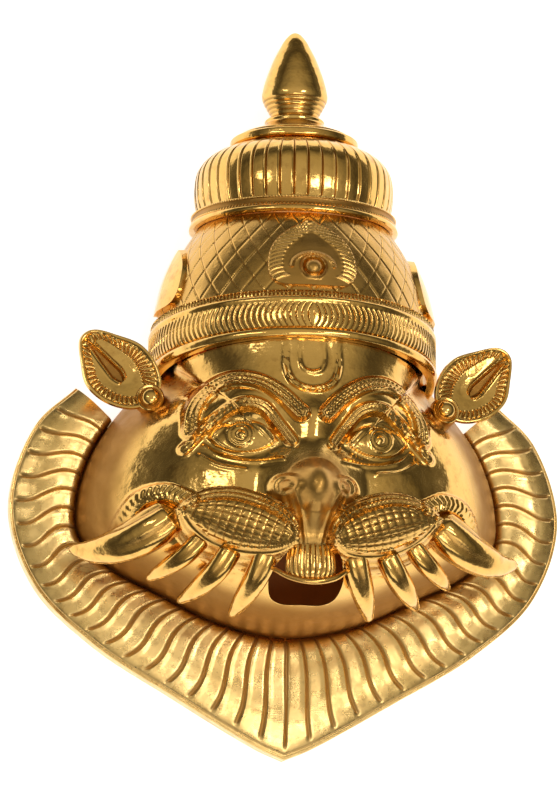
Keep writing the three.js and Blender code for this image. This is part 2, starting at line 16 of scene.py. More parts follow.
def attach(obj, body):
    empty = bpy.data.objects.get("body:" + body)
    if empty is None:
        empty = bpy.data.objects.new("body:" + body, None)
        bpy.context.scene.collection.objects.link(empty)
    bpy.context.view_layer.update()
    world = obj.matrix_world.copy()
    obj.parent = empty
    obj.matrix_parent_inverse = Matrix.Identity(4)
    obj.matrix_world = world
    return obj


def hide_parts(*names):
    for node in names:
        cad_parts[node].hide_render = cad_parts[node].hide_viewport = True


bl_info = {
    "name": "Narasimha Mask",
    "version": (1, 0, 0),
    "blender": (4, 5, 0),
    "location": "View3D > Sidebar > Mask",
    "description": "Builds the gilt lion-face mask piece by piece over its CAD frame",
    "category": "Object",
}

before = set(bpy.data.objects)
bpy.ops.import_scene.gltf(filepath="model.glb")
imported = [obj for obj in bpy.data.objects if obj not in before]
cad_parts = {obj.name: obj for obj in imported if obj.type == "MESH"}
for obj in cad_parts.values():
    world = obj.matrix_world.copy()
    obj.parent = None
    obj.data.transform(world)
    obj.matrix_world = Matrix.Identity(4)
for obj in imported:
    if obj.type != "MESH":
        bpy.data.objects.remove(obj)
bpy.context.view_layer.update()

MM = 0.001

# The sheet, and the gap that the solder fills between two pieces
SHEET = 2.2
SEAM = 0.3

# The crown is round about an axis above the table, and FLATTEN times as deep as it is wide
AXIS_Z = 20
FLATTEN = 0.94
BRIM_FRONT_Y = 10
BRIM_RADIUS = 69
BRIM_HEIGHT = 23
# How much lower the brim's ends hang than its middle
BRIM_SAG = 11
BRIM_ROLL = 1.8
CRESCENT_PITCH = 2.9
CRESCENT_BOW = 2.6
TOOTH_PITCH = 1.9
CONE_HEIGHT = 42.4
CONE_FOOT_INSET = 2.5
CONE_SWELL = 3.5
CONE_TOP_RADIUS = 47.5
LATTICE_LINES = 36
LATTICE_SHIFT = 3
LATTICE_RELIEF = 0.9
RING_HEIGHT = 7.5
RING_RADIUS = 50.5
DOME_HEIGHT = 35
DOME_FOOT_RADIUS = 47
DOME_SHOULDER_RADIUS = 49.5
DOME_TOP_RADIUS = 29.5
FLUTE_DEPTH = 1.3
DOME_LINES = 44
DISC_RADIUS = 31.5
DISC_HEIGHT = 5
NECK_HEIGHT = 12
NECK_RADIUS = 12.2
BUD_RADIUS = 17.6
BUD_HEIGHT = 44.3
CREST_WIDTH = 43
CREST_HEIGHT = 36
CREST_THICKNESS = 4.2
# The boss sits this share of the crest's height above its foot
CREST_BOSS_SHARE = 0.26
SIDE_CREST_SHARE = 0.8
SIDE_CREST_ANGLE = 12

# The face
FACE_RIM_Z = 8
FRONT_Z = 85
NOSE_RISE = 19
NOSE_TIP = (0, -62)
NOSTRIL = (14, -63)
MUZZLE_RISE = 13
# Each muzzle pad's ends, towards the nose and towards the cheek, and the pitch of its net's columns
PAD_INNER = (8, -89)
PAD_OUTER = (63, -73)
NET_PITCH = 4
EYE = (31.5, -37.5)
IRIS = (33, -36.5)
FACE_CENTRE_Y = BRIM_FRONT_Y - 72
ARCH_RADIUS = BRIM_RADIUS - SHEET - FLUTE_DEPTH - SEAM
ARCH_POINTS = 11
CHEEK_RIM = [(76, -7, 14), (86, -19, 9), (96, -36, 8), (102, -57, 8), (101, -75, 8),
             (86, -90, 8), (62, -102, 8), (34, -115, 8), (0, -121.5, 8)]

# The mane: its width, and the length of one side along its middle
MANE_WIDTH = 32.5
MANE_RUN = 270
SKIRT_HEIGHT = 8
BAND_RISE = 5
STRANDS_PER_SIDE = 21
STRAND_GROOVE = 1.6
STRAND_SWAY = 3.5
MANE_OUTER = [(104, -3), (123, -22), (134.5, -61), (122, -99), (93, -127), (54, -151),
              (13, -174.5), (0, -180)]

# The ears
EAR_LENGTH = 44
EAR_Z = 40
EAR_FLUTES = 42
EAR_BASE = (71.5, -13.5)
EAR_TIP = (102.5, 15)
EAR_OUTLINE = [(44.5, 3), (44, -2), (35, -10.5), (27, -16), (18, -17), (9, -14.5), (1.5, -9), (-2, -1),
               (0, 8), (9, 14.5), (21, 16.5), (33, 12), (42, 7)]

# Heights of the crown's parts
BRIM_TOP_Y = BRIM_FRONT_Y + BRIM_HEIGHT
CONE_TOP_Y = BRIM_TOP_Y + CONE_HEIGHT
RING_Y = CONE_TOP_Y + SEAM
DOME_Y = RING_Y + RING_HEIGHT
DISC_Y = DOME_Y + DOME_HEIGHT
NECK_Y = DISC_Y + DISC_HEIGHT + SEAM
BUD_Y = NECK_Y + NECK_HEIGHT


# Small functions that work on arrays

def mix(a, b, t):
    """From a at 0 to b at 1."""
    return a + (b - a) * t


def smooth(t):
    """An even rise from 0 to 1 that starts and ends gently."""
    t = np.clip(t, 0, 1)
    return t * t * (3 - 2 * t)


def bump(distance, width):
    """1 on a line and nearly 0 a width or two away from it."""
    return np.exp(-((distance / width) ** 2))


def mound(x, y, centre, radii):
    """1 in the middle of an ellipse, falling to 0 at its edge and outside it."""
    return np.maximum(0, 1 - ((x - centre[0]) / radii[0]) ** 2 - ((y - centre[1]) / radii[1]) ** 2)


def roll(distance, reach):
    """A half-round roll: 1 on its crest, 0 at the edge of its reach and outside it."""
    return np.sqrt(np.maximum(0, 1 - (distance / reach) ** 2))


def wave(t):
    """A round wave from 0 to 1, with its crest at whole numbers."""
    return 0.5 + 0.5 * np.cos(2 * math.pi * t)


def line_at(t, width):
    """1 on each whole number, 0 elsewhere, with a soft edge. width is a share of the spacing."""
    return bump(t - np.round(t), width)


def between(t):
    """0 on each whole number and 1 halfway between two."""
    return 2 * np.abs(t - np.round(t))


def curve(points, steps=24, closed=False):
    """Points of a smooth centripetal curve through the given ones, with as many steps in each stretch."""
    p = np.array(points, float)
    n = len(p)
    before = p[-1] if closed else 2 * p[0] - p[1]
    after = [p[0], p[1]] if closed else [2 * p[-1] - p[-2]]
    q = np.vstack([before, p, *after])
    t = np.linspace(0, 1, steps, endpoint=False)[:, None]
    made = []
    for i in range(n if closed else n - 1):
        a, b, c, d = q[i:i + 4]
        gaps = [max(np.linalg.norm(k - j), 1e-6) ** 0.5 for j, k in ((a, b), (b, c), (c, d))]
        leave = ((b - a) / gaps[0] - (c - a) / (gaps[0] + gaps[1]) + (c - b) / gaps[1]) * gaps[1]
        arrive = ((c - b) / gaps[1] - (d - b) / (gaps[1] + gaps[2]) + (d - c) / gaps[2]) * gaps[1]
        bend = 3 * (c - b) - 2 * leave - arrive
        twist = 2 * (b - c) + leave + arrive
        made.append(b + leave * t + bend * t ** 2 + twist * t ** 3)
    return np.vstack([*made, p[:1] if closed else p[-1:]])


def by_steps(line, share):
    """Points of a line, by share of its number of steps."""
    at = np.clip(share, 0, 1) * (len(line) - 1)
    return np.stack([np.interp(at, np.arange(len(line)), line[:, k]) for k in range(line.shape[1])], -1)


def by_length(line, share):
    """Points of a line, by share of its length."""
    run = np.concatenate([[0], np.cumsum(np.linalg.norm(np.diff(line, axis=0), axis=1))])
    at = np.clip(share, 0, 1) * run[-1]
    return np.stack([np.interp(at, run, line[:, k]) for k in range(line.shape[1])], -1)


def follow(x, y, points, reach):
    """How far each spot lies to the left of a smooth line, and how far along the line it is.

    Spots further away than the reach get that reach as their distance.
    """
    line = curve(points, 8)[:, :2]
    side = np.full(x.shape, float(reach))
    along = np.zeros(x.shape)
    near = ((x > line[:, 0].min() - reach) & (x < line[:, 0].max() + reach)
            & (y > line[:, 1].min() - reach) & (y < line[:, 1].max() + reach))
    if not near.any():
        return side, along
    px, py = x[near], y[near]
    best = np.full(px.shape, 1e9)
    best_side, best_along = np.zeros(px.shape), np.zeros(px.shape)
    run = 0.0
    for (ax, ay), (bx, by) in zip(line[:-1], line[1:]):
        dx, dy = bx - ax, by - ay
        length = math.hypot(dx, dy)
        t = np.clip(((px - ax) * dx + (py - ay) * dy) / length ** 2, 0, 1)
        ex, ey = px - ax - t * dx, py - ay - t * dy
        away = np.hypot(ex, ey)
        closer = away < best
        best = np.where(closer, away, best)
        best_side = np.where(closer, np.sign(dx * ey - dy * ex) * away, best_side)
        best_along = np.where(closer, run + t * length, best_along)
        run += length
    side[near] = np.clip(best_side, -reach, reach)
    along[near] = best_along
    return side, along


# Meshes

MERGE_DISTANCE = 0.002 * MM
# Edges sharper than this many degrees stay crisp
CREASE_ANGLE = 40


def nothing_selected():
    """Leaves edit mode and deselects everything."""
    if bpy.context.object and bpy.context.object.mode != "OBJECT":
        bpy.ops.object.mode_set(mode="OBJECT")
    bpy.ops.object.select_all(action="DESELECT")


def sheet_piece(name, columns, rows, place, crease=CREASE_ANGLE):
    """A grid that a place function shapes.

    place takes the shares across and along the grid and gives the points in millimetres and how
    deep in a groove each lies, from 0 to 1, or from 0 to -1 how dull it is outside the grooves; the finish
    paints shade into the grooves and onto the dull ground by these values.
    Its seams and poles are merged and its ends filled.
    """
    nothing_selected()
    bpy.ops.mesh.primitive_grid_add(x_subdivisions=columns, y_subdivisions=rows, size=1)
    piece = bpy.context.object
    piece.name = name
    mesh = piece.data
    u = np.tile(np.linspace(0, 1, columns + 1), rows + 1)
    v = np.repeat(np.linspace(0, 1, rows + 1), columns + 1)
    points, groove = place(u, v)
    mesh.vertices.foreach_set("co", (points * MM).astype(np.float32).ravel())
    depth = mesh.attributes.new("groove", "FLOAT", "POINT")
    depth.data.foreach_set("value", np.broadcast_to(groove, u.shape).astype(np.float32))
    bpy.ops.object.mode_set(mode="EDIT")
    bpy.ops.mesh.select_all(action="SELECT")
    bpy.ops.mesh.remove_doubles(threshold=MERGE_DISTANCE)
    bpy.ops.mesh.select_all(action="DESELECT")
    bpy.ops.mesh.select_non_manifold(extend=False, use_wire=False, use_boundary=True,
                                     use_multi_face=False, use_non_contiguous=False, use_verts=False)
    bpy.ops.mesh.fill_holes(sides=0)
    bpy.ops.mesh.select_all(action="SELECT")
    bpy.ops.mesh.normals_make_consistent(inside=False)
    bpy.ops.object.mode_set(mode="OBJECT")
    bpy.ops.object.shade_smooth_by_angle(angle=math.radians(crease))
    return piece


def join_pieces(name, parts):
    """Several objects made one, under a name."""
    nothing_selected()
    for part in parts:
        part.select_set(True)
    bpy.context.view_layer.objects.active = parts[0]
    bpy.ops.object.join()
    joined = bpy.context.object
    joined.name = name
    return joined


def mirrored(piece):
    """A copy of a piece on the other side of the mask's middle, with its own mesh."""
    nothing_selected()
    piece.select_set(True)
    bpy.context.view_layer.objects.active = piece
    bpy.ops.object.duplicate(linked=False)
    twin = bpy.context.object
    twin.data.transform(Matrix.Scale(-1, 4, Vector((1, 0, 0))))
    bpy.ops.object.mode_set(mode="EDIT")
    bpy.ops.mesh.select_all(action="SELECT")
    bpy.ops.mesh.flip_normals()
    bpy.ops.object.mode_set(mode="OBJECT")
    return twin


def settle(piece, node, material):
    """The piece rides on the mask, stands for its CAD node and gets its finish."""
    piece.data.materials.clear()
    piece.data.materials.append(material)
    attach(piece, "root")
    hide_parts(node)


# Materials

# How much a wholly unbuffed spot adds to the roughness, and how much darker and browner a wholly satin one
# is, which on the face's steep sides is painted shade
UNBUFFED_ROUGHNESS = 0.35
SATIN_BROWNING_AND_SHADE = 0.75


def linear(colour):
    """A hex colour as the linear values that a shader takes."""
    values = [int(colour[i:i + 2], 16) / 255 for i in (1, 3, 5)]
    return [v / 12.92 if v <= 0.04045 else ((v + 0.055) / 1.055) ** 2.4 for v in values] + [1]


def add_node(tree, kind, inputs=None, **settings):
    """Adds a node. An input takes a value, or a socket that is linked to it; settings go on the node."""
    node = tree.nodes.new(kind)
    for name, value in settings.items():
        setattr(node, name, value)
    for name, value in (inputs or {}).items():
        if isinstance(value, bpy.types.NodeSocket):
            tree.links.new(value, node.inputs[name])
        else:
            node.inputs[name].default_value = value
    return node


def metal(name, light, deep, recess_shade_and_tarnish, roughness, dents, scratches, grain):
    """Gilding over raised brass. Depths are in metres.

    roughness holds the smoothest and the dullest spot's. Where the groove attribute is above 0, it dulls the
    groove and paints shade, with tarnish, into it; where it is below 0, it gives a satin ground that is
    darker and browner, and on the face's steep sides that darkening is painted shade.
    """
    material = bpy.data.materials.new(name)
    material.use_nodes = True
    tree = material.node_tree
    shader = tree.nodes["Principled BSDF"]
    shader.inputs["Metallic"].default_value = 1
    place = add_node(tree, "ShaderNodeTexCoord").outputs["Object"]
    depth = add_node(tree, "ShaderNodeAttribute", attribute_name="groove").outputs["Fac"]

    def noise(size, detail, source=place):
        """Noise whose patches are about the given size in millimetres."""
        return add_node(tree, "ShaderNodeTexNoise", {"Vector": source, "Scale": 1000 / size, "Detail": detail,
                                                     "Roughness": 0.6}).outputs["Fac"]

    def bent(height, distance, normal=None):
        """A normal bent by a height field."""
        inputs = {"Height": height, "Distance": distance}
        if normal:
            inputs["Normal"] = normal
        return add_node(tree, "ShaderNodeBump", inputs).outputs["Normal"]

    # Patches of tone a few centimetres wide, as hand-laid gilding has
    tone = add_node(tree, "ShaderNodeMix", {0: noise(26, 3), 6: light, 7: deep}, data_type="RGBA")
    # Brown tarnish sits in blotches a few millimetres wide, painted shade with tarnish fills the grooves, and
    # painted shade darkens the satin ground
    blotch = add_node(tree, "ShaderNodeMapRange", {"Value": noise(5, 5), "From Min": 0.52, "From Max": 0.8,
                                                   "To Min": 0, "To Max": 0.5})
    browned_and_shaded = add_node(tree, "ShaderNodeMath", {0: depth, 1: -SATIN_BROWNING_AND_SHADE}, operation="MULTIPLY")
    shade_and_tarnish = add_node(tree, "ShaderNodeMath", {0: browned_and_shaded.outputs[0], 1: blotch.outputs["Result"]},
                       operation="MAXIMUM")
    painted_shade_and_tarnish = add_node(tree, "ShaderNodeMath", {0: depth, 1: shade_and_tarnish.outputs[0]}, operation="MAXIMUM")
    colour = add_node(tree, "ShaderNodeMix", {0: painted_shade_and_tarnish.outputs[0], 6: tone.outputs[2], 7: recess_shade_and_tarnish},
                      data_type="RGBA")
    tree.links.new(colour.outputs[2], shader.inputs["Base Color"])
    # Polish is uneven, and the recesses that no buffing wheel reaches stay dull
    dull = add_node(tree, "ShaderNodeMapRange", {"Value": noise(7, 5), "From Min": 0.3, "From Max": 0.75,
                                                 "To Min": roughness[0], "To Max": roughness[1]})
    unbuffed = add_node(tree, "ShaderNodeMath", {0: depth}, operation="ABSOLUTE")
    total = add_node(tree, "ShaderNodeMath", {0: unbuffed.outputs[0], 1: UNBUFFED_ROUGHNESS,
                                              2: dull.outputs["Result"]},
                     operation="MULTIPLY_ADD", use_clamp=True)
    tree.links.new(total.outputs[0], shader.inputs["Roughness"])
    # Wide and narrow hammer dents make the reflections wander
    normal = bent(noise(18, 1), dents)
    normal = bent(noise(5, 2), dents * 0.2, normal)
    # Scratches run two ways: noise drawn out along one direction at a time
    for turn in (0.5, 2.1):
        drawn = add_node(tree, "ShaderNodeMapping", {"Vector": place, "Rotation": (0, 0, turn),
                                                     "Scale": (0.06, 2.2, 0.2)})
        normal = bent(noise(1, 2, drawn.outputs["Vector"]), scratches, normal)
    normal = bent(noise(0.7, 3), grain, normal)
    tree.links.new(normal, shader.inputs["Normal"])
    return material


finishes = {}


def finish_of(name):
    """The mask's finishes, each made when it is first asked for."""
    look = bpy.context.scene.mask_settings
    # The last colour is painted shade, with tarnish, for the grooves
    gold, deep, satin, recess_shade_and_tarnish = ([*colour, 1] for colour in (
        look.gold, look.deep_gold, look.satin_gold, look.recess_shade_and_tarnish))
    if name not in finishes:
        if name == "polished":
            # Mirror polish shows each lamp as a crisp streak that the dents break up
            made = metal("polished_gilding", gold, deep, recess_shade_and_tarnish, (0.05, 0.22), look.dent_depth,
                         look.scratch_depth / 3, 0.003 * MM)
        else:
            # Satin gilding spreads the light, with a haze of scratches
            made = metal("satin_gilding", satin, gold, recess_shade_and_tarnish, (0.2, 0.4), 0.7 * look.dent_depth,
                         look.scratch_depth, 0.007 * MM)
        finishes[name] = made
    return finishes[name]


# Crown

def on_crown(angle, radius, y):
    """A point round the crown's axis. The sides hang below the middle, most at the brim."""
    fade = np.clip((CONE_TOP_Y - y) / (CONE_TOP_Y - BRIM_FRONT_Y), 0, 1)
    sag = BRIM_SAG * (1 - np.sin(angle)) * fade ** 1.5
    return np.stack([radius * np.cos(angle), y - sag, AXIS_Z + FLATTEN * radius * np.sin(angle)], -1)


def cone_radius(y):
    """The cone tapers upwards and swells a little halfway."""
    t = (y - BRIM_TOP_Y) / CONE_HEIGHT
    swell = CONE_SWELL * np.sin(math.pi * np.clip(t, 0, 1))
    return mix(BRIM_RADIUS - CONE_FOOT_INSET, CONE_TOP_RADIUS, t) + swell


def turned(name, profile, columns, relief=None, crease=CREASE_ANGLE):
    """A body turned from (radius, y) pairs and cut off flat where it would pass below the table.

    relief takes the angle, the share of the profile's steps, the height and the radius, and gives how
    far the surface stands out and how deep in a groove it lies.
    """
    outline = np.array(profile, float)

    def place(u, v):
        radius, y = by_steps(outline, v).T
        start = -np.arcsin(np.minimum(1, AXIS_Z / np.maximum(FLATTEN * radius, 1e-6)))
        angle = mix(start, math.pi - start, u)
        out, groove = relief(angle, v, y, radius) if relief else (0, 0)
        points = on_crown(angle, radius + out, y)
        points[:, 2] = np.maximum(points[:, 2], 0)
        return points, groove

    return sheet_piece(name, columns, len(outline) - 1, place, crease)


def straight(start, end, steps):
    """Evenly spaced (radius, y) pairs of a straight stretch, without its end."""
    return [tuple(mix(np.array(start, float), np.array(end, float), t)) for t in np.arange(steps) / steps]


def brim_relief(angle, v, y, radius):
    """From the bottom: a polished roll, crescent flutes, a narrow roll and a row of punched teeth."""
    up = y - BRIM_FRONT_Y
    outside = radius > BRIM_RADIUS - 3
    away = np.abs(angle - math.pi / 2) * BRIM_RADIUS
    low_roll = roll(up - 2.2, 2.2)
    high_roll = roll(up - 18, 1.6)
    # 0 at the middle of the crescents' height and 1 at its ends
    bow = ((up - 10.6) / 6) ** 2
    crescent = (away - CRESCENT_BOW * (1 - bow)) / CRESCENT_PITCH
    part = crescent - np.floor(crescent)
    swell = smooth(part / 0.22) * (1 - 0.55 * part ** 2)
    field = smooth((1.05 - bow) / 0.16)
    teeth_foot, teeth_height = 20, 2
    tooth_width = 0.3 + 0.6 * (up - teeth_foot) / teeth_height
    in_row = (up > teeth_foot) * (up < teeth_foot + 1.1 * teeth_height)
    punch = smooth((tooth_width - between(away / TOOTH_PITCH)) / 0.25) * in_row
    out = BRIM_ROLL * (low_roll + 0.7 * high_roll) + field * (0.75 * swell + 0.3) - 0.8 * punch
    groove = np.maximum(0.8 * field * np.clip(1 - 1.4 * swell, 0, 1), 0.9 * punch)
    return np.where(outside, out, 0), np.where(outside, groove, 0)


def lattice_relief(angle, v, y, radius):
    """The engraved net of crossing lines round the cone, on a satin ground."""
    up = (y - BRIM_TOP_Y) / CONE_HEIGHT
    outside = radius > cone_radius(y) - 0.5
    run = angle / (2 * math.pi) * LATTICE_LINES
    lean = up * LATTICE_SHIFT
    line_width = 0.04
    net = np.maximum(line_at(run + lean, line_width), line_at(run - lean, line_width))
    cut = net * smooth((0.98 - up) / 0.02) * outside
    depth = bpy.context.scene.mask_settings.lattice_depth / MM
    return -depth * cut, np.where(outside, 1.4 * cut - 0.4, 0)


def crest(name, middle, columns, rows, share, fluted):
    """A leaf crest laid on the cone at the middle angle.

    The front crest has hooked flutes round a ringed boss, and the side ones only a crease.
    """
    width, height = CREST_WIDTH * share, CREST_HEIGHT * share
    middle_y = BRIM_TOP_Y + 2 + height * CREST_BOSS_SHARE
    front_share = 0.8

    def place(u, v):
        front = v < front_share
        scale = np.where(front, v / front_share, 1 - (v - front_share) / 0.2)
        up, side = np.sin(2 * math.pi * u), np.cos(2 * math.pi * u)
        shoulder = side * (1 - 0.56 * up ** 4)
        foot = np.sign(side) * np.abs(side) ** 0.4
        spread = 0.5 * width * np.where(up > 0, shoulder, foot)
        reach = height * np.where(up > 0, 1 - CREST_BOSS_SHARE, CREST_BOSS_SHARE) * up
        across, y = spread * scale, middle_y + reach * scale
        if fluted:
            from_boss = np.hypot(across, reach * scale)
            from_edge = np.hypot(spread, reach) * (1 - scale)
            # Tongues that droop towards the edge, all the way down both sides
            tongue_length = 8
            band = (smooth((tongue_length + 0.2 - from_edge) / 1.2) * smooth((from_edge - 0.5) / 0.6)
                    * smooth((up + 0.85) / 0.15))
            fan = wave((reach * scale + 0.045 * (tongue_length - from_edge) ** 2) / 2.1)
            boss = 0.95 * roll(from_boss, 4)
            rings = 0.45 * bump(from_boss - 5.3, 0.7)
            brow = 0.3 * bump(np.hypot(0.75 * across, reach * scale) - 7.4, 0.6) * (up > 0)
            rise = 0.45 + boss + rings + brow + band * (0.05 + 0.13 * fan)
            groove = 1.3 * bump(from_boss - 4.4, 0.4) + 0.5 * band * (1 - fan) - 0.6
        else:
            rise = 0.5 + 0.35 * (1 - np.abs(across) / (0.5 * width))
            groove = 0
        rise = np.where(front, rise * smooth((1.0 - scale) / 0.05 + 0.35), -0.4)
        radius = cone_radius(y)
        points = on_crown(middle - across / radius, radius + CREST_THICKNESS * rise, y)
        points[:, 2] = np.maximum(points[:, 2], 0)
        return points, np.where(front, groove, 0)

    return sheet_piece(name, columns, rows, place)


def make_crown():
    """The brim, the lattice cone and its three crests."""
    back = BRIM_RADIUS - SHEET - FLUTE_DEPTH
    front_top_y = BRIM_TOP_Y - 0.6
    brim = turned("crown_brim", [
        *straight((back, BRIM_TOP_Y), (back, BRIM_FRONT_Y), 3),
        *straight((back, BRIM_FRONT_Y), (BRIM_RADIUS, BRIM_FRONT_Y), 3),
        *straight((BRIM_RADIUS, BRIM_FRONT_Y), (BRIM_RADIUS, front_top_y), 54),
        *straight((BRIM_RADIUS, front_top_y), (back, BRIM_TOP_Y), 3), (back, BRIM_TOP_Y),
    ], 900, brim_relief)
    # The cone starts inside the brim
    heights = np.linspace(BRIM_TOP_Y - 2, CONE_TOP_Y, 62)
    outer = [(cone_radius(y), y) for y in heights]
    inner = [(cone_radius(y) - SHEET - LATTICE_RELIEF, y) for y in heights[::-12]]
    cone = turned("crown_cone", [*outer, *inner, outer[0]], 840, lattice_relief)
    side = math.radians(SIDE_CREST_ANGLE)
    return [brim, cone, crest("crest_front", math.pi / 2, 272, 60, 1, True),
            crest("crest_right", side, 120, 40, SIDE_CREST_SHARE, False),
            crest("crest_left", math.pi - side, 120, 40, SIDE_CREST_SHARE, False)]


def make_crown_cap():
    """The toothed ring, the lined dome and the disc on top of it."""
    def ring_relief(angle, v, y, radius):
        """From the bottom: a plain roll, a row of small triangles, a hollow band and a fine cord."""
        up = (y - RING_Y) / RING_HEIGHT
        outside = radius > CONE_TOP_RADIUS - 1
        run = angle * RING_RADIUS
        plain = 0.9 * roll(up - 0.2, 0.2)
        tall = smooth((0.66 - up) / 0.2 * 1.3 - between(run / TOOTH_PITCH) * 0.8) * (up > 0.42)
        cord = bump(up - 0.93, 0.06) * (0.5 + 0.5 * wave(run / 1.5 + 4 * up))
        hollow = (up > 0.4) * (up < 0.88)
        out = plain - 0.5 * hollow + 0.8 * tall * hollow + 0.6 * cord
        return np.where(outside, out, 0), np.where(outside, 0.7 * hollow * (1 - tall), 0)

    foot, ledge, top = CONE_TOP_RADIUS - 3, RING_RADIUS - 0.8, RING_RADIUS - 0.6
    wide_y = RING_Y + 0.1 * RING_HEIGHT
    ring = turned("cap_ring", [
        *straight((foot, RING_Y), (ledge, RING_Y), 3),
        *straight((ledge, RING_Y), (RING_RADIUS, wide_y), 6),
        *straight((RING_RADIUS, wide_y), (top, DOME_Y), 42),
        *straight((top, DOME_Y), (foot, DOME_Y), 3), (foot, DOME_Y), (foot, RING_Y),
    ], 760, ring_relief)
    outer = curve([
        (DOME_FOOT_RADIUS - 0.5, DOME_Y - 0.2),
        (DOME_FOOT_RADIUS + 1, DOME_Y + 0.15 * DOME_HEIGHT),
        (DOME_SHOULDER_RADIUS - 0.8, DOME_Y + 0.4 * DOME_HEIGHT),
        (DOME_SHOULDER_RADIUS - 1.8, DOME_Y + 0.61 * DOME_HEIGHT),
        (mix(DOME_TOP_RADIUS, DOME_SHOULDER_RADIUS, 0.74), DOME_Y + 0.77 * DOME_HEIGHT),
        (mix(DOME_TOP_RADIUS, DOME_SHOULDER_RADIUS, 0.4), DOME_Y + 0.91 * DOME_HEIGHT),
        (DOME_TOP_RADIUS, DISC_Y),
    ], 10)
    inner = outer[::-10] - (SHEET + FLUTE_DEPTH, 0)

    def dome_relief(angle, v, y, radius):
        """Fine upright lines from the disc down to the ring, each with a raised edge."""
        t = (y - DOME_Y) / DOME_HEIGHT
        # The outer skin takes the first nine tenths of the profile's steps
        outside = v < 0.9
        run = angle / (2 * math.pi) * DOME_LINES
        cut = line_at(run, 0.05) * smooth((t - 0.02) / 0.03) * smooth((0.99 - t) / 0.05) * outside
        edge = line_at(run - 0.12, 0.05) * smooth((t - 0.02) / 0.03) * smooth((0.95 - t) / 0.1) * outside
        return 0.25 * edge - 0.7 * FLUTE_DEPTH * cut, 0.8 * cut

    dome = turned("cap_dome", [*outer, *inner, outer[0]], 880, dome_relief)
    disc_top_y = DISC_Y + DISC_HEIGHT
    disc = turned("cap_disc", curve([
        (0, DISC_Y), (DISC_RADIUS - 2, DISC_Y), (DISC_RADIUS, DISC_Y + 1), (DISC_RADIUS + 0.2, DISC_Y + 2.5),
        (DISC_RADIUS, disc_top_y - 1), (DISC_RADIUS - 2, disc_top_y), (0, disc_top_y),
    ], 6), 160)
    return [ring, dome, disc]


# The bud's half width and height as shares of its widest half width and its whole height
BUD_SHAPE = [(0.8, 0.1), (0.89, 0.17), (0.93, 0.23), (0.91, 0.3), (0.83, 0.43), (0.71, 0.57), (0.58, 0.7),
             (0.45, 0.8), (0.31, 0.9), (0.14, 0.975), (0, 1)]


def make_finial():
    """The lotus bud on its bell-shaped stem."""
    bud_foot = (NECK_RADIUS - 0.5, BUD_Y)
    bud = curve([bud_foot, *[(BUD_RADIUS * out, BUD_Y + BUD_HEIGHT * up) for out, up in BUD_SHAPE]], 8)
    # A flat foot on the disc, then a bell that rises to the collar under the bud
    collar = NECK_RADIUS + 2.6
    stem = curve([
        (0, NECK_Y), (DISC_RADIUS - 4, NECK_Y), (DISC_RADIUS - 3.5, NECK_Y + 0.8),
        (DISC_RADIUS - 7, NECK_Y + 2.4), (DISC_RADIUS - 13.5, NECK_Y + 5.5),
        (collar, NECK_Y + 8), (collar, NECK_Y + 9.5), bud_foot,
    ], 6)

    def rings(angle, v, y, radius):
        """Fine rings under the bud's widest place."""
        under = smooth((BUD_Y + 0.2 * BUD_HEIGHT - y) / 1.5) * smooth((y - BUD_Y) / 1.5)
        cut = under * (1 - wave((y - BUD_Y) / 2.1))
        return -0.45 * cut, 0.6 * cut

    return turned("finial_bud", [*stem[:-1], *bud], 140, rings, crease=50)


# Face

def face_rim():
    """The face's edge: the arch under the brim, down the left cheek to the chin and up the right one."""
    turn = np.linspace(0, math.pi, ARCH_POINTS)
    arch = on_crown(turn, np.full(ARCH_POINTS, float(ARCH_RADIUS)), np.full(ARCH_POINTS, BRIM_FRONT_Y + 4.0))
    left = np.array([(-x, y, z) for x, y, z in CHEEK_RIM], float)
    right = left[-2::-1] * (-1, 1, 1)
    return curve([*arch, *left, *right], 40, closed=True)


RIM = face_rim()


def muzzle_pad(x, y):
    """The pad's form: how far along it from -1 to 1, how far across it from -1 to 1, and its half width."""
    run = np.subtract(PAD_OUTER, PAD_INNER)
    length = np.linalg.norm(run)
    ux, uy = run / length
    from_x, from_y = x - PAD_INNER[0], y - PAD_INNER[1]
    along = 2 * (from_x * ux + from_y * uy) / length - 1
    across = from_y * ux - from_x * uy
    # Blunt towards the nose, pointed towards the cheek
    taper = np.maximum(0, 1 - along ** 2) ** np.where(along < 0, 0.36, 0.6)
    half = np.where(across > 0, 19, 16) * taper
    return along, np.where(half > 0.01, across / np.maximum(half, 0.01), 9), half


def upright_bar(x, y, top, bottom, reach):
    """1 on the middle line between two heights, falling off round it."""
    return bump(np.hypot(x, np.maximum(0, np.maximum(y - top, bottom - y))), reach)


def large_forms(x, y):
    """The forms that the back of the sheet follows too."""
    nose = 0.5 * NOSE_RISE * mound(x, y, (0, -61), (27, 23)) ** 1.5
    bridge = 4 * upright_bar(x, y, -28, -54, 8)
    lip = 7 * upright_bar(x, y, -68, -84, 11)
    _, across, _ = muzzle_pad(x, y)
    muzzle = 0.7 * MUZZLE_RISE * np.maximum(0, 1 - across ** 2)
    socket = -6 * mound(x, y, (33, -37), (28, 18)) ** 1.8
    return nose + bridge + lip + muzzle + socket


# Lines of the chasing on the right half, as (x, y) points of smooth curves
BROW = [(6, -27), (14.5, -18), (26, -11), (38, -9.5), (48.5, -15), (54, -23.5), (55.5, -34.5)]
EYELID = [(58, -43), (46, -30), (34, -22.5), (23, -24), (15, -33), (10, -40)]
UPPER_LASH = [(17, -39.5), (24, -32), (33, -29.5), (41, -32), (46, -37)]
LOWER_LASH = [(18, -40.5), (24, -43.5), (32, -45), (40, -42.5), (45.5, -37.5)]
CREASES = [[(49, -41), (43, -46), (30, -49.5), (14, -49)], [(51, -46), (43, -51), (31, -53.5)]]
FOREHEAD_OUTER = [(12, 9), (12.3, -4), (9.5, -11), (5, -14), (0, -15)]
FOREHEAD_INNER = [(5.5, 9), (5.8, -1), (4, -5.2), (0, -6.5)]
RUFFLE = [(57, -67), (66, -63), (77, -65), (85, -76)]
LIP_SWEEP = [(13, -66), (9.5, -74), (7.5, -81), (6, -88)]
LINE_REACH = 6


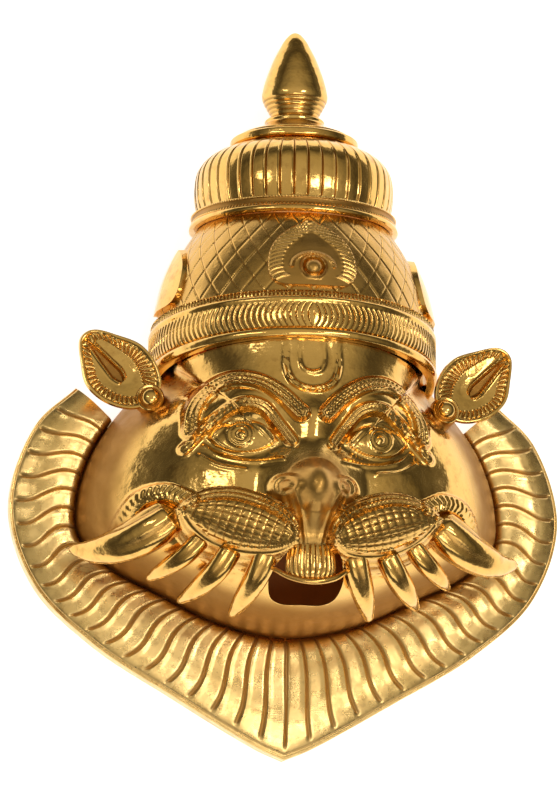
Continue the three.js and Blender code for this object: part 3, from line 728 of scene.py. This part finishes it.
def ridged_band(x, y, line, half_width, rise, spacing, ridge, teeth=0.0, pitch=2.2):
    """A raised band along a line, with parallel ridges on it and rope teeth on the middle ones."""
    side, along = follow(x, y, line, half_width * 2.5)
    body = smooth((half_width + 1 - np.abs(side)) / 2)
    ridges = wave(side / spacing)
    cord = teeth * wave(along / pitch + side / 4) * bump(side, spacing)
    return rise * body + body * (ridge * ridges - cord), body * (1 - ridges) * 0.7


def eye_forms(x, y):
    """The eyeball with its rings, its lashes, and the swell and creases round it."""
    ball = 5.5 * np.sqrt(mound(x, y, EYE, (14.5, 7.2)))
    from_iris = np.hypot(x - IRIS[0], y - IRIS[1])
    rings = 0.7 * bump(from_iris - 5.6, 0.6) + 0.5 * bump(from_iris - 3.8, 0.5) + 1.3 * roll(from_iris, 2)
    lid_swell = 4.5 * mound(x, y, (36, -19), (22, 13)) ** 1.6
    upper, _ = follow(x, y, UPPER_LASH, LINE_REACH)
    lower, _ = follow(x, y, LOWER_LASH, LINE_REACH)
    lashes = 1.6 * bump(upper, 1) + 1.1 * bump(lower, 0.9)
    creases = sum(0.8 * bump(follow(x, y, line, LINE_REACH)[0], 0.9) for line in CREASES)
    return ball + rings + lid_swell + lashes + creases


def nose_forms(x, y):
    """The tip of the nose, the nostril with its curl, and the fold down to the teeth."""
    tip = 0.32 * NOSE_RISE * mound(x, y, NOSE_TIP, (15, 13)) ** 1.2
    from_curl = np.hypot(x - NOSTRIL[0], y - NOSTRIL[1] - 0.5)
    nostril = (3 * mound(x, y, NOSTRIL, (8, 7)) ** 1.2 + 0.6 * bump(from_curl - 4.6, 1)
               - 0.8 * bump(from_curl - 3, 0.8) + 0.7 * bump(from_curl, 1.6))
    fold, _ = ridged_band(x, y, LIP_SWEEP, 3.6, 0.5, 2.4, 0.6)
    return tip + nostril + fold


def pad_forms(x, y):
    """The muzzle pad with its net, rope and outer ridges, and how deep its grooves are."""
    along, across, half = muzzle_pad(x, y)
    half_length = 28
    # The net fills the pad's middle, short of its lower and upper edges
    low, high = -1 + 8.4 / np.maximum(half, 5), 1 - 7.5 / np.maximum(half, 5)
    net_rows = 6
    row = (across - low) / np.maximum(high - low, 0.05) * net_rows
    column = along * half_length / NET_PITCH + 0.04 * (across * 4) ** 2
    field = smooth((across - low) / 0.06) * smooth((high - across) / 0.06) * (half > 7)
    net = np.maximum(line_at(row, 0.1), line_at(column, 0.09))
    inside = np.abs(across) < 1
    below = wave((across - low) * half / 2.8) * (across < low) * inside
    above = wave((across - high) * half / 2.6) * (across > high) * inside
    on_rope = (np.abs((across - high) * half - 3.4) < 1.3) * inside
    rope = 0.35 * wave(along * half_length / 2.1) * on_rope
    swell = 0.3 * MUZZLE_RISE * roll(across, 1)
    forms = swell + field * (0.5 - 0.55 * net) + 1.2 * below + 1.3 * above - rope
    return forms, field * net + (1 - below - above) * 0.4 * inside * (1 - field)


def carving(x, y):
    """The chased detail that stands on the large forms, and how deep in a groove each spot lies."""
    pad, pad_cut = pad_forms(x, y)
    brow, brow_cut = ridged_band(x, y, BROW, 3.6, 3.2, 2.3, 0.9, 0.6)
    lid, lid_cut = ridged_band(x, y, EYELID, 2.6, 2.2, 1.75, 0.7, 0.2, 1.8)
    outer, _ = follow(x, y, FOREHEAD_OUTER, LINE_REACH)
    inner, _ = follow(x, y, FOREHEAD_INNER, LINE_REACH)
    mark = 1.5 * bump(outer - 0.9, 0.7) + 1.5 * bump(outer + 0.9, 0.7) + 1.2 * bump(inner, 0.9)
    ruffle, run = follow(x, y, RUFFLE, 9)
    frill = smooth((5.5 - np.abs(ruffle)) / 2.5) * (3 + 0.9 * wave(run / 2.6 + np.abs(ruffle) / 5))
    forms = nose_forms(x, y) + pad + brow + lid + eye_forms(x, y) + mark + frill
    return forms, np.clip(pad_cut + 0.6 * (brow_cut + lid_cut), 0, 1)


def face_point(around, out, detailed):
    """A point of the face's front: around its rim, and out from 0 in the middle to 1 on the rim."""
    rim = by_steps(RIM, around)
    x = rim[:, 0] * out
    y = mix(FACE_CENTRE_Y, rim[:, 1], out)
    # The forehead passes over into the arch that the crown's brim stands on
    side = np.minimum(1, np.abs(x) / ARCH_RADIUS)
    arch = AXIS_Z + FLATTEN * ARCH_RADIUS * np.sqrt(1 - side ** 2)
    front = FRONT_Z - 9 * (x / 60) ** 2
    ceiling = mix(front, arch, smooth((y - BRIM_FRONT_Y + 40) / 42))
    dome = np.sqrt(np.maximum(0, 1 - out ** 3))
    forms, groove = large_forms(np.abs(x), y), np.zeros(x.shape)
    if detailed:
        chased, groove = carving(np.abs(x), y)
        forms = forms + chased
    fade = np.minimum(1, 4 * (1 - out))
    z = rim[:, 2] + (ceiling - rim[:, 2]) * dome + forms * fade
    # The steep wall round the cheeks and chin, the nose and the pads are satin, and the rest is
    # mirror-bright; the darkening of the satin on the steep wall is painted shade
    wall = smooth((out - 0.78) / 0.12) * smooth((5 - y) / 20)
    pad = 0.35 * (np.abs(muzzle_pad(np.abs(x), y)[1]) < 1)
    nose = 0.6 * np.minimum(1, 3 * mound(x, y, (0, -68), (22, 24)))
    satin = np.maximum(wall, np.maximum(pad, nose))
    return np.stack([x, y, z], -1), np.where(groove * fade > 0.05, groove * fade, -satin)


MOUTH = [(0, -90), (9, -90.5), (15, -96), (17.5, -101), (15.5, -109), (10, -111.8), (0, -112.2)]


def make_face():
    """The raised face. Its back follows the large forms, a sheet's thickness behind them."""
    front_rows, back_rows = 130, 24
    back_tarnish = 0.3
    step = 0.01

    def large_point(around, out, nearest=0.02, furthest=0.98):
        """A point of the large forms, kept off the middle and the rim, where they have no clear slope."""
        return face_point(around, np.clip(out, nearest, furthest), False)[0]

    def place(u, v):
        """The front goes out from the middle to the rim, and the back comes in again behind it."""
        at = v * (front_rows + back_rows)
        out = np.where(at <= front_rows, at / front_rows, (front_rows + back_rows - at) / back_rows)
        front, groove = face_point(u, out, True)
        back, _ = face_point(u, out, False)
        ahead, behind = large_point((u + step) % 1, out), large_point((u - step) % 1, out)
        far, near = large_point(u, out + step, furthest=0.999), large_point(u, out - step, nearest=0.01)
        normal = np.cross(far - near, ahead - behind)
        normal /= np.maximum(np.linalg.norm(normal, axis=1), 1e-9)[:, None]
        normal[out < 0.03] = (0, 0, 1)
        inside = at > front_rows
        points = np.where(inside[:, None], back - SHEET * normal, front)
        return points, np.where(inside, back_tarnish, groove)

    face = sheet_piece("face_sheet", 560, front_rows + back_rows, place, crease=60)
    open_mouth(face)
    return face


def open_mouth(face):
    """Cuts the mouth through the sheet with an upright block."""
    left = [(-x, y) for x, y in MOUTH[-2:0:-1]]
    outline = curve([*MOUTH, *left], 5, closed=True)[:-1]
    foot_z, height = 20, 120
    nothing_selected()
    bpy.ops.mesh.primitive_circle_add(vertices=len(outline), fill_type="NGON")
    cutter = bpy.context.object
    for vertex, (x, y) in zip(cutter.data.vertices, outline):
        vertex.co = Vector((x, y, foot_z)) * MM
    bpy.ops.object.mode_set(mode="EDIT")
    bpy.ops.mesh.select_all(action="SELECT")
    bpy.ops.mesh.extrude_region_move(TRANSFORM_OT_translate={"value": (0, 0, height * MM)})
    bpy.ops.mesh.select_all(action="SELECT")
    bpy.ops.mesh.normals_make_consistent(inside=False)
    bpy.ops.object.mode_set(mode="OBJECT")
    nothing_selected()
    bpy.context.view_layer.objects.active = face
    face.select_set(True)
    opening = face.modifiers.new("mouth", "BOOLEAN")
    opening.object = cutter
    opening.solver = "EXACT"
    bpy.ops.object.modifier_apply(modifier="mouth")
    bpy.data.objects.remove(cutter)


# Teeth and tusks

# Each horn's spine from root to tip, its radii along the spine, and its number of grooves
TUSK = ([(60, -71, 66), (70, -79, 62), (84, -86, 54), (97, -88, 44), (108, -86, 36)], [8, 10, 8.8, 6, 1.8], 5)
FANGS = [
    ([(19, -86, 80), (22, -97, 78), (27, -108, 68), (33, -118, 52)], [6.4, 6.2, 4.8, 1.8], 4),
    ([(35, -88, 76), (41, -98, 73), (49, -106, 62), (57, -111, 46)], [5.8, 5.8, 4.2, 1.5], 4),
    ([(48, -83, 71), (55, -91, 69), (64, -97, 60), (72, -101, 47)], [5, 5, 3.8, 1.4], 4),
]


def horn(name, spine, radii, grooves):
    """A tapering curved horn with long grooves that fade towards its tip."""
    line = curve(spine, 16)
    thickness = curve(list(zip(np.linspace(0, 1, len(radii)), radii)), 8)
    step = 0.01

    def place(u, v):
        centre = by_length(line, v)
        ahead = by_length(line, v + step) - by_length(line, v - step)
        ahead /= np.linalg.norm(ahead, axis=1)[:, None]
        side = np.cross(ahead, (0, 0, 1.0))
        side /= np.linalg.norm(side, axis=1)[:, None]
        up = np.cross(side, ahead)
        turn = 2 * math.pi * u
        # Both ends close in a round
        root, tip = np.minimum(1, np.sqrt(v * 12)), np.sqrt(np.clip((1 - v) / 0.06, 0, 1))
        cut = wave(u * grooves) ** 3 * smooth((0.8 - v) / 0.6) * smooth(v / 0.1)
        radius = np.maximum(0, np.interp(v, thickness[:, 0], thickness[:, 1])) * root * tip * (1 - 0.13 * cut)
        points = centre + (side * np.cos(turn)[:, None] + up * np.sin(turn)[:, None]) * radius[:, None]
        return points, 0.5 * cut

    return sheet_piece(name, 48, 60, place, crease=50)


def make_teeth():
    """The front teeth, and the bar of the lower lip across the mouth."""
    top, bottom = -84, -106
    half_width, half_depth = 12.6, 7.5
    flutes = 22

    def place(u, v):
        """A blunt block with upright flutes that spread downwards on its front."""
        turn = 2 * math.pi * u
        ends = np.maximum(0, 1 - np.abs(2 * v - 1) ** 3.5) ** 0.5
        cut = line_at(u * flutes, 0.16) * (np.sin(turn) > 0) * smooth(v / 0.2)
        scale = ends * (0.8 + 0.2 * v) * (1 - 0.07 * cut)
        x = half_width * np.cos(turn) * scale
        z = FRONT_Z - 3 + half_depth * np.sin(turn) * scale
        return np.stack([x, mix(top, bottom, v), z], -1), 0.6 * cut

    teeth = sheet_piece("front_teeth", 220, 40, place, crease=50)
    bar_line = [(-19, -98, 80), (-10, -103.5, 85), (0, -105.5, 87), (10, -103.5, 85), (19, -98, 80)]
    bar = horn("lip_bar", bar_line, [1.2, 1.5, 1.5, 1.5, 1.2], 0)
    return [teeth, bar]


def make_fangs():
    """The tusk and the three fangs of each side."""
    made = []
    for number, (spine, radii, grooves) in enumerate([TUSK, *FANGS]):
        name = "tusk" if number == 0 else f"fang_{number}"
        right = horn(f"{name}_right", spine, radii, grooves)
        left = mirrored(right)
        left.name = f"{name}_left"
        made += [right, left]
    return made


# Mane

def mane_curves():
    """The mane's inner and outer lines on the right side, from the ear to the chin."""
    corners = ARCH_POINTS + 2 * len(CHEEK_RIM) - 1
    ear, chin = ARCH_POINTS + 1, ARCH_POINTS + len(CHEEK_RIM) - 1
    inner = by_steps(RIM, np.linspace(ear, chin, 160) / corners)[:, :2] * (-1, 1)
    return inner, curve(MANE_OUTER, 40)


def mane_section():
    """The mane's section as shares of its width in from the edge, heights, and shares of the grid's rows.

    It goes up the skirt, over the rolled rim and the band to the face, and back underneath.
    """
    def band_z(across):
        return SKIRT_HEIGHT + 1.2 + BAND_RISE * np.sin(math.pi * np.clip(across, 0, 1)) ** 0.8

    skirt_in = SHEET / MANE_WIDTH
    wall = SHEET + STRAND_GROOVE
    skirt_foot = [(0, 0, 0)]
    front = [
        (0, SKIRT_HEIGHT - 1, 0.05), (0.004, SKIRT_HEIGHT + 0.6, 0.08), (0.018, SKIRT_HEIGHT + 1.5, 0.11),
        (0.036, SKIRT_HEIGHT + 1.3, 0.14), (0.06, band_z(0.06), 0.18), (0.14, band_z(0.14), 0.24),
        (0.3, band_z(0.3), 0.34), (0.45, band_z(0.45), 0.45), (0.6, band_z(0.6), 0.56),
        (0.75, band_z(0.7), 0.67), (0.88, band_z(0.76), 0.77), (1, FACE_RIM_Z, 0.86),
    ]
    back = [
        (1, FACE_RIM_Z - SHEET, 0.88), (0.8, band_z(0.74) - wall, 0.91), (0.45, band_z(0.45) - wall, 0.94),
        (skirt_in, SKIRT_HEIGHT - SHEET, 0.97), (skirt_in, 0, 0.99), (0, 0, 1),
    ]
    return np.vstack([skirt_foot, curve(front, 8), back]).T


def make_mane():
    """The mane's collar, both sides in one sheet from ear to ear."""
    inner, outer = mane_curves()
    across_of, z_of, share_of = mane_section()
    depth = bpy.context.scene.mask_settings.strand_depth / MM

    def mane_point(along, across):
        """A spot of the mane in plan. Its strands sway in an S and lean, more towards the chin."""
        ends = np.sin(math.pi * np.clip(along, 0, 1)) ** 0.5
        sway = (STRAND_SWAY / MANE_RUN) * np.sin(2 * math.pi * across) * ends
        turn = 0.42
        lean = np.where(along < turn, 0.03 * np.sin(math.pi * along / turn),
                        -0.07 * np.sin(math.pi * (along - turn) / (1 - turn)))
        seam = by_length(inner, np.clip(along + sway - lean / 2, 0, 1))
        away = seam - (0, FACE_CENTRE_Y)
        away /= np.linalg.norm(away, axis=1)[:, None]
        edge = by_length(outer, np.clip(along + sway + lean / 2, 0, 1))
        return mix(edge, seam - 0.2 * away, across[:, None])

    def place(u, v):
        mirror = np.where(u < 0.5, -1, 1)
        # The grid's columns crowd together beside each groove
        strand = (1 - np.abs(2 * u - 1)) * STRANDS_PER_SIDE
        strand = strand - 0.75 * np.sin(2 * math.pi * strand) / (2 * math.pi)
        across = np.interp(v, share_of, across_of)
        z = np.interp(v, share_of, z_of)
        top = (v > 0.15) & (v < 0.86)
        offset = (strand - np.round(strand)) * MANE_RUN / STRANDS_PER_SIDE
        reach = smooth((across - 0.07) / 0.06) * smooth((0.995 - across) / 0.04) * (strand > 0.4)
        cut = bump(offset, 0.85) * reach
        edge = bump(offset - 1.9, 0.9) * reach
        z = np.where(top, z - depth * cut + 0.4 * edge, z)
        xy = mane_point(strand / STRANDS_PER_SIDE, across)
        return np.stack([xy[:, 0] * mirror, xy[:, 1], z], -1), np.where(top, 0.6 * cut, 0)

    return sheet_piece("mane_sheet", 2 * STRANDS_PER_SIDE * 16, 92, place)


# Ears

def make_ear():
    """The right ear: a leaf with its round boss, and its mirrored twin on the left."""
    turn_ear = math.atan2(EAR_TIP[1] - EAR_BASE[1], EAR_TIP[0] - EAR_BASE[0])
    border = curve(EAR_OUTLINE, 24, closed=True)
    centre = np.array([EAR_LENGTH * 0.42, 0])
    lean = 0.12

    def in_place(along, across, height):
        return np.stack([
            EAR_BASE[0] + along * math.cos(turn_ear) - across * math.sin(turn_ear),
            EAR_BASE[1] + along * math.sin(turn_ear) + across * math.cos(turn_ear),
            EAR_Z - lean * along + height,
        ], -1)

    def leaf(u, v):
        """A plain rolled edge, teardrop flutes inside it, a flat field and a spear-shaped groove."""
        fold = 0.75
        front = v < fold
        scale = np.where(front, v / fold, (1 - v) / (1 - fold))
        rim = by_length(border, u)
        at = mix(centre, rim, scale[:, None])
        along, across = at.T
        from_edge = np.linalg.norm(rim - centre, axis=1) * (1 - scale)
        # The flutes are short at the lower edge, and on the upper edge longest near the boss
        upper = smooth((rim[:, 1] - 2) / 6)
        flute_length = mix(4.4, mix(9, 2.8, np.clip(along / EAR_LENGTH, 0, 1)), upper)
        inner = (from_edge - 2.2) / flute_length
        drop = roll(between(u * EAR_FLUTES), np.clip(1.05 - 0.5 * inner, 0.1, 1))
        field = smooth(inner / 0.12) * smooth((1 - inner) / 0.12)
        edge_roll = roll(from_edge - 1.1, 1.2)
        # How far along the spear groove, from its round end to its point
        spear_start, spear_length = 15, 25
        spear = (along - spear_start) / spear_length
        half = 2.6 * np.clip(1 - spear, 0, 1) ** 0.7 * np.sqrt(np.clip(spear * 5, 0, 1))
        beside = np.abs(across + 2.4 * (1 - spear)) - half
        on_spear = (spear > 0) * (spear < 1.05)
        dig = smooth(0.5 - beside / 1.2) * on_spear
        spear_edge = bump(beside - 1.1, 0.7) * on_spear
        slope = np.interp(scale, [0, 0.3, 0.75, 1], [0.4, 0.7, 2.2, 2.6])
        height = slope + 1.1 * edge_roll + field * (1.1 * drop - 0.5) - 1.3 * dig + spear_edge
        under = np.interp(scale, [0, 0.6, 0.96, 1], [-3, -2, -0.2, 1.6])
        height = np.where(front, height * smooth((1.04 - scale) / 0.04), under)
        groove = np.clip(0.5 * field * (1 - drop) + 0.8 * dig, 0, 1)
        return in_place(along, across, height), np.where(front, groove, 0)

    def stud(u, v):
        """A round boss in a ring."""
        angle = 2 * math.pi * u
        outline = [(0, 8.5), (1.5, 8.3), (3, 7.6), (4.2, 6.2), (4.5, 4.4), (5, 3.9), (5.9, 4.3),
                   (6.6, 3.6), (6.8, 2), (6.8, -4), (0, -4)]
        radius, height = by_length(curve(outline, 6), v).T
        return in_place(radius * np.cos(angle), radius * np.sin(angle), height), 0.8 * bump(radius - 4.7, 0.4)

    right = join_pieces("ear_right_leaf", [sheet_piece("ear_leaf", 294, 60, leaf),
                                          sheet_piece("ear_stud", 56, 48, stud)])
    left = mirrored(right)
    left.name = "ear_left_leaf"
    return right, left


# Stage

def make_camera():
    """The photograph's view: from above, a little from the right and from below the chin."""
    yaw, pitch, roll_angle = (math.radians(angle) for angle in (8.737, 12, 0.64))
    target = Vector((-8.758, -10.947, 40)) * MM
    distance = 1527.03 * MM
    back = Vector((-math.sin(yaw) * math.cos(pitch), -math.sin(pitch), math.cos(yaw) * math.cos(pitch)))
    level_right = Vector((0, 1, 0)).cross(back).normalized()
    level_up = back.cross(level_right)
    right = level_right * math.cos(roll_angle) + level_up * math.sin(roll_angle)
    up = level_up * math.cos(roll_angle) - level_right * math.sin(roll_angle)
    bpy.ops.object.camera_add()
    camera = bpy.context.object
    camera.name = "camera"
    camera.matrix_world = Matrix((right, up, back)).transposed().to_4x4()
    camera.location = target + back * distance
    camera.data.sensor_fit = "VERTICAL"
    camera.data.sensor_height = 36
    camera.data.lens = 144
    camera.data.clip_end = 20
    bpy.context.scene.camera = camera


# Name, place and size in metres, and power in watts
SOFTBOXES = [
    ("softbox_left", (-0.83, 0.28, 1.1), (0.16, 0.4), 1),
    ("softbox_right", (0.52, 0.12, 1.27), (0.24, 0.4), 2.3),
    ("softbox_front", (0.15, -0.6, 1.35), (0.8, 0.3), 3.2),
    ("softbox_low", (0.1, -1.2, 0.9), (1.2, 0.5), 2),
]
# Tones of the room that the polish mirrors, from the horizon at 0 to straight overhead at 1
ROOM_TONES = [(0, "#7A776B"), (0.35, "#4A473C"), (0.75, "#AFAA95"), (1, "#C8C3B1")]
# Strength of the painted light that the paper gives off outside the face
PAINTED_TABLE_GLOW = 0.8


def add_softbox(name, place, size, power):
    """A square softbox that looks at the mask."""
    nothing_selected()
    bpy.ops.object.light_add(type="AREA", location=place)
    light = bpy.context.object
    light.name = name
    light.data.shape = "RECTANGLE"
    light.data.size, light.data.size_y = size
    light.data.energy = power
    mask_middle = Vector((0, 0, 0.04))
    light.rotation_euler = (Vector(place) - mask_middle).to_track_quat("Z", "Y").to_euler()


def paper_with_painted_shadow():
    """Matt white paper that glows with painted light, but for the part under the face, where a brown shadow
    is painted.
    """
    paper = bpy.data.materials.new("paper_with_painted_shadow")
    paper.use_nodes = True
    tree = paper.node_tree
    shader = tree.nodes["Principled BSDF"]
    shader.inputs["Roughness"].default_value = 1
    shader.inputs["Specular IOR Level"].default_value = 0
    shader.inputs["Emission Color"].default_value = linear("#FFFFFF")
    place = add_node(tree, "ShaderNodeTexCoord").outputs["Object"]
    face_centre = Vector((0, FACE_CENTRE_Y, 0)) * MM
    from_face = add_node(tree, "ShaderNodeVectorMath", {0: place, 1: face_centre}, operation="DISTANCE")
    outside_painted_shadow = add_node(tree, "ShaderNodeMapRange", {"Value": from_face.outputs["Value"],
                                                       "From Min": 70 * MM, "From Max": 90 * MM})
    # A brown shadow is painted on the paper under the face, and the rest is white
    tone = add_node(tree, "ShaderNodeMix", {0: outside_painted_shadow.outputs["Result"], 6: linear("#A06A40"),
                                            7: linear("#F6F6F6")}, data_type="RGBA")
    # Outside the face the paper glows with painted light
    painted_glow = add_node(tree, "ShaderNodeMath", {0: outside_painted_shadow.outputs["Result"], 1: PAINTED_TABLE_GLOW},
                    operation="MULTIPLY")
    tree.links.new(tone.outputs[2], shader.inputs["Base Color"])
    tree.links.new(painted_glow.outputs[0], shader.inputs["Emission Strength"])
    return paper


def make_room():
    """The room's light, which is darkest above the horizon and brightest overhead."""
    world = bpy.data.worlds.new("studio")
    bpy.context.scene.world = world
    world.use_nodes = True
    tree = world.node_tree
    direction = add_node(tree, "ShaderNodeTexCoord").outputs["Generated"]
    parts = add_node(tree, "ShaderNodeSeparateXYZ", {"Vector": direction})
    ramp = add_node(tree, "ShaderNodeValToRGB", {"Fac": parts.outputs["Z"]})
    stops = ramp.color_ramp.elements
    for position, _ in ROOM_TONES[1:-1]:
        stops.new(position)
    for stop, (_, colour) in zip(stops, ROOM_TONES):
        stop.color = linear(colour)
    tree.links.new(ramp.outputs["Color"], tree.nodes["Background"].inputs["Color"])
    bpy.context.scene.view_settings.view_transform = "Standard"


def make_stage():
    """The paper that the mask lies on, the camera, the lamps and the room."""
    nothing_selected()
    bpy.ops.mesh.primitive_plane_add(size=6, location=(0, 0, 0))
    floor = bpy.context.object
    floor.name = "floor"
    floor.data.materials.append(paper_with_painted_shadow())
    make_camera()
    for name, place, size, power in SOFTBOXES:
        add_softbox(name, place, size, power)
    make_room()


# The add-on

class MaskSettings(bpy.types.PropertyGroup):
    """Colours of the mask's gilding and depths of its finest relief."""
    gold: bpy.props.FloatVectorProperty(
        name="Gold", description="Lighter tone of the polished gilding", subtype="COLOR", size=3,
        min=0, max=1, default=linear("#EFC476")[:3])
    deep_gold: bpy.props.FloatVectorProperty(
        name="Deep Gold", description="Deeper tone of the polished gilding", subtype="COLOR", size=3,
        min=0, max=1, default=linear("#E2AE58")[:3])
    satin_gold: bpy.props.FloatVectorProperty(
        name="Satin Gold", description="Tone of the satin mane", subtype="COLOR", size=3,
        min=0, max=1, default=linear("#EBC98A")[:3])
    # The tone of the painted shade, with tarnish, in the grooves
    recess_shade_and_tarnish: bpy.props.FloatVectorProperty(
        name="Recess", description="Tone of the tarnish in the grooves", subtype="COLOR", size=3,
        min=0, max=1, default=linear("#8E5A20")[:3])
    dent_depth: bpy.props.FloatProperty(
        name="Dent Depth", description="Height of the hammer dents in the polished sheet", unit="LENGTH",
        min=0, max=2 * MM, precision=5, default=0.8 * MM)
    scratch_depth: bpy.props.FloatProperty(
        name="Scratch Depth", description="Depth of the scratches in the satin gilding", unit="LENGTH",
        min=0, max=0.1 * MM, precision=5, default=0.024 * MM)
    strand_depth: bpy.props.FloatProperty(
        name="Strand Depth", description="Depth of the grooves between the mane's strands", unit="LENGTH",
        min=0, max=STRAND_GROOVE * MM, precision=5, default=1.0 * MM)
    lattice_depth: bpy.props.FloatProperty(
        name="Lattice Depth", description="Depth of the engraved lines round the crown", unit="LENGTH",
        min=0, max=LATTICE_RELIEF * MM, precision=5, default=0.4 * MM)


class MASK_OT_stage(bpy.types.Operator):
    """Adds the floor, the softboxes and the camera"""
    bl_idname = "mask.stage"
    bl_label = "Stage"

    def execute(self, context):
        make_stage()
        return {"FINISHED"}


class MASK_OT_mane(bpy.types.Operator):
    """Makes the mane collar with its chased strands"""
    bl_idname = "mask.mane"
    bl_label = "Mane"

    def execute(self, context):
        settle(make_mane(), "mane_collar", finish_of("satin"))
        return {"FINISHED"}


class MASK_OT_face(bpy.types.Operator):
    """Makes the chased face, open at the mouth"""
    bl_idname = "mask.face"
    bl_label = "Face"

    def execute(self, context):
        settle(make_face(), "face", finish_of("polished"))
        return {"FINISHED"}


class MASK_OT_teeth(bpy.types.Operator):
    """Makes the front teeth, the fangs and the tusks"""
    bl_idname = "mask.teeth"
    bl_label = "Teeth and Tusks"

    def execute(self, context):
        for piece in [*make_teeth(), *make_fangs()]:
            settle(piece, "face", finish_of("polished"))
        return {"FINISHED"}


class MASK_OT_crown(bpy.types.Operator):
    """Makes the crown's brim, lattice cone and crests"""
    bl_idname = "mask.crown"
    bl_label = "Crown"

    def execute(self, context):
        for piece in make_crown():
            settle(piece, "crown", finish_of("polished"))
        return {"FINISHED"}


class MASK_OT_crown_cap(bpy.types.Operator):
    """Makes the fluted cap with its toothed ring and its disc"""
    bl_idname = "mask.crown_cap"
    bl_label = "Crown Cap"

    def execute(self, context):
        for piece in make_crown_cap():
            settle(piece, "crown_cap", finish_of("polished"))
        return {"FINISHED"}


class MASK_OT_finial(bpy.types.Operator):
    """Makes the lotus-bud finial"""
    bl_idname = "mask.finial"
    bl_label = "Finial"

    def execute(self, context):
        settle(make_finial(), "finial", finish_of("polished"))
        return {"FINISHED"}


class MASK_OT_ears(bpy.types.Operator):
    """Makes both ears with their bosses"""
    bl_idname = "mask.ears"
    bl_label = "Ears"

    def execute(self, context):
        right, left = make_ear()
        settle(right, "ear_right", finish_of("polished"))
        settle(left, "ear_left", finish_of("polished"))
        return {"FINISHED"}


class MASK_PT_panel(bpy.types.Panel):
    """The mask's pieces, in the order in which they are made"""
    bl_label = "Mask"
    bl_idname = "MASK_PT_panel"
    bl_space_type = "VIEW_3D"
    bl_region_type = "UI"
    bl_category = "Mask"

    def draw(self, context):
        for operator in OPERATORS:
            self.layout.operator(operator.bl_idname)


OPERATORS = (MASK_OT_stage, MASK_OT_mane, MASK_OT_face, MASK_OT_teeth, MASK_OT_crown, MASK_OT_crown_cap,
             MASK_OT_finial, MASK_OT_ears)
CLASSES = (MaskSettings, *OPERATORS, MASK_PT_panel)


def register():
    for one in CLASSES:
        bpy.utils.register_class(one)
    bpy.types.Scene.mask_settings = bpy.props.PointerProperty(type=MaskSettings)


def unregister():
    del bpy.types.Scene.mask_settings
    for one in reversed(CLASSES):
        bpy.utils.unregister_class(one)


def main():
    register()
    bpy.ops.mask.stage()
    bpy.ops.mask.mane()
    bpy.ops.mask.face()
    bpy.ops.mask.teeth()
    bpy.ops.mask.crown()
    bpy.ops.mask.crown_cap()
    bpy.ops.mask.finial()
    bpy.ops.mask.ears()


if __name__ == "__main__":
    main()
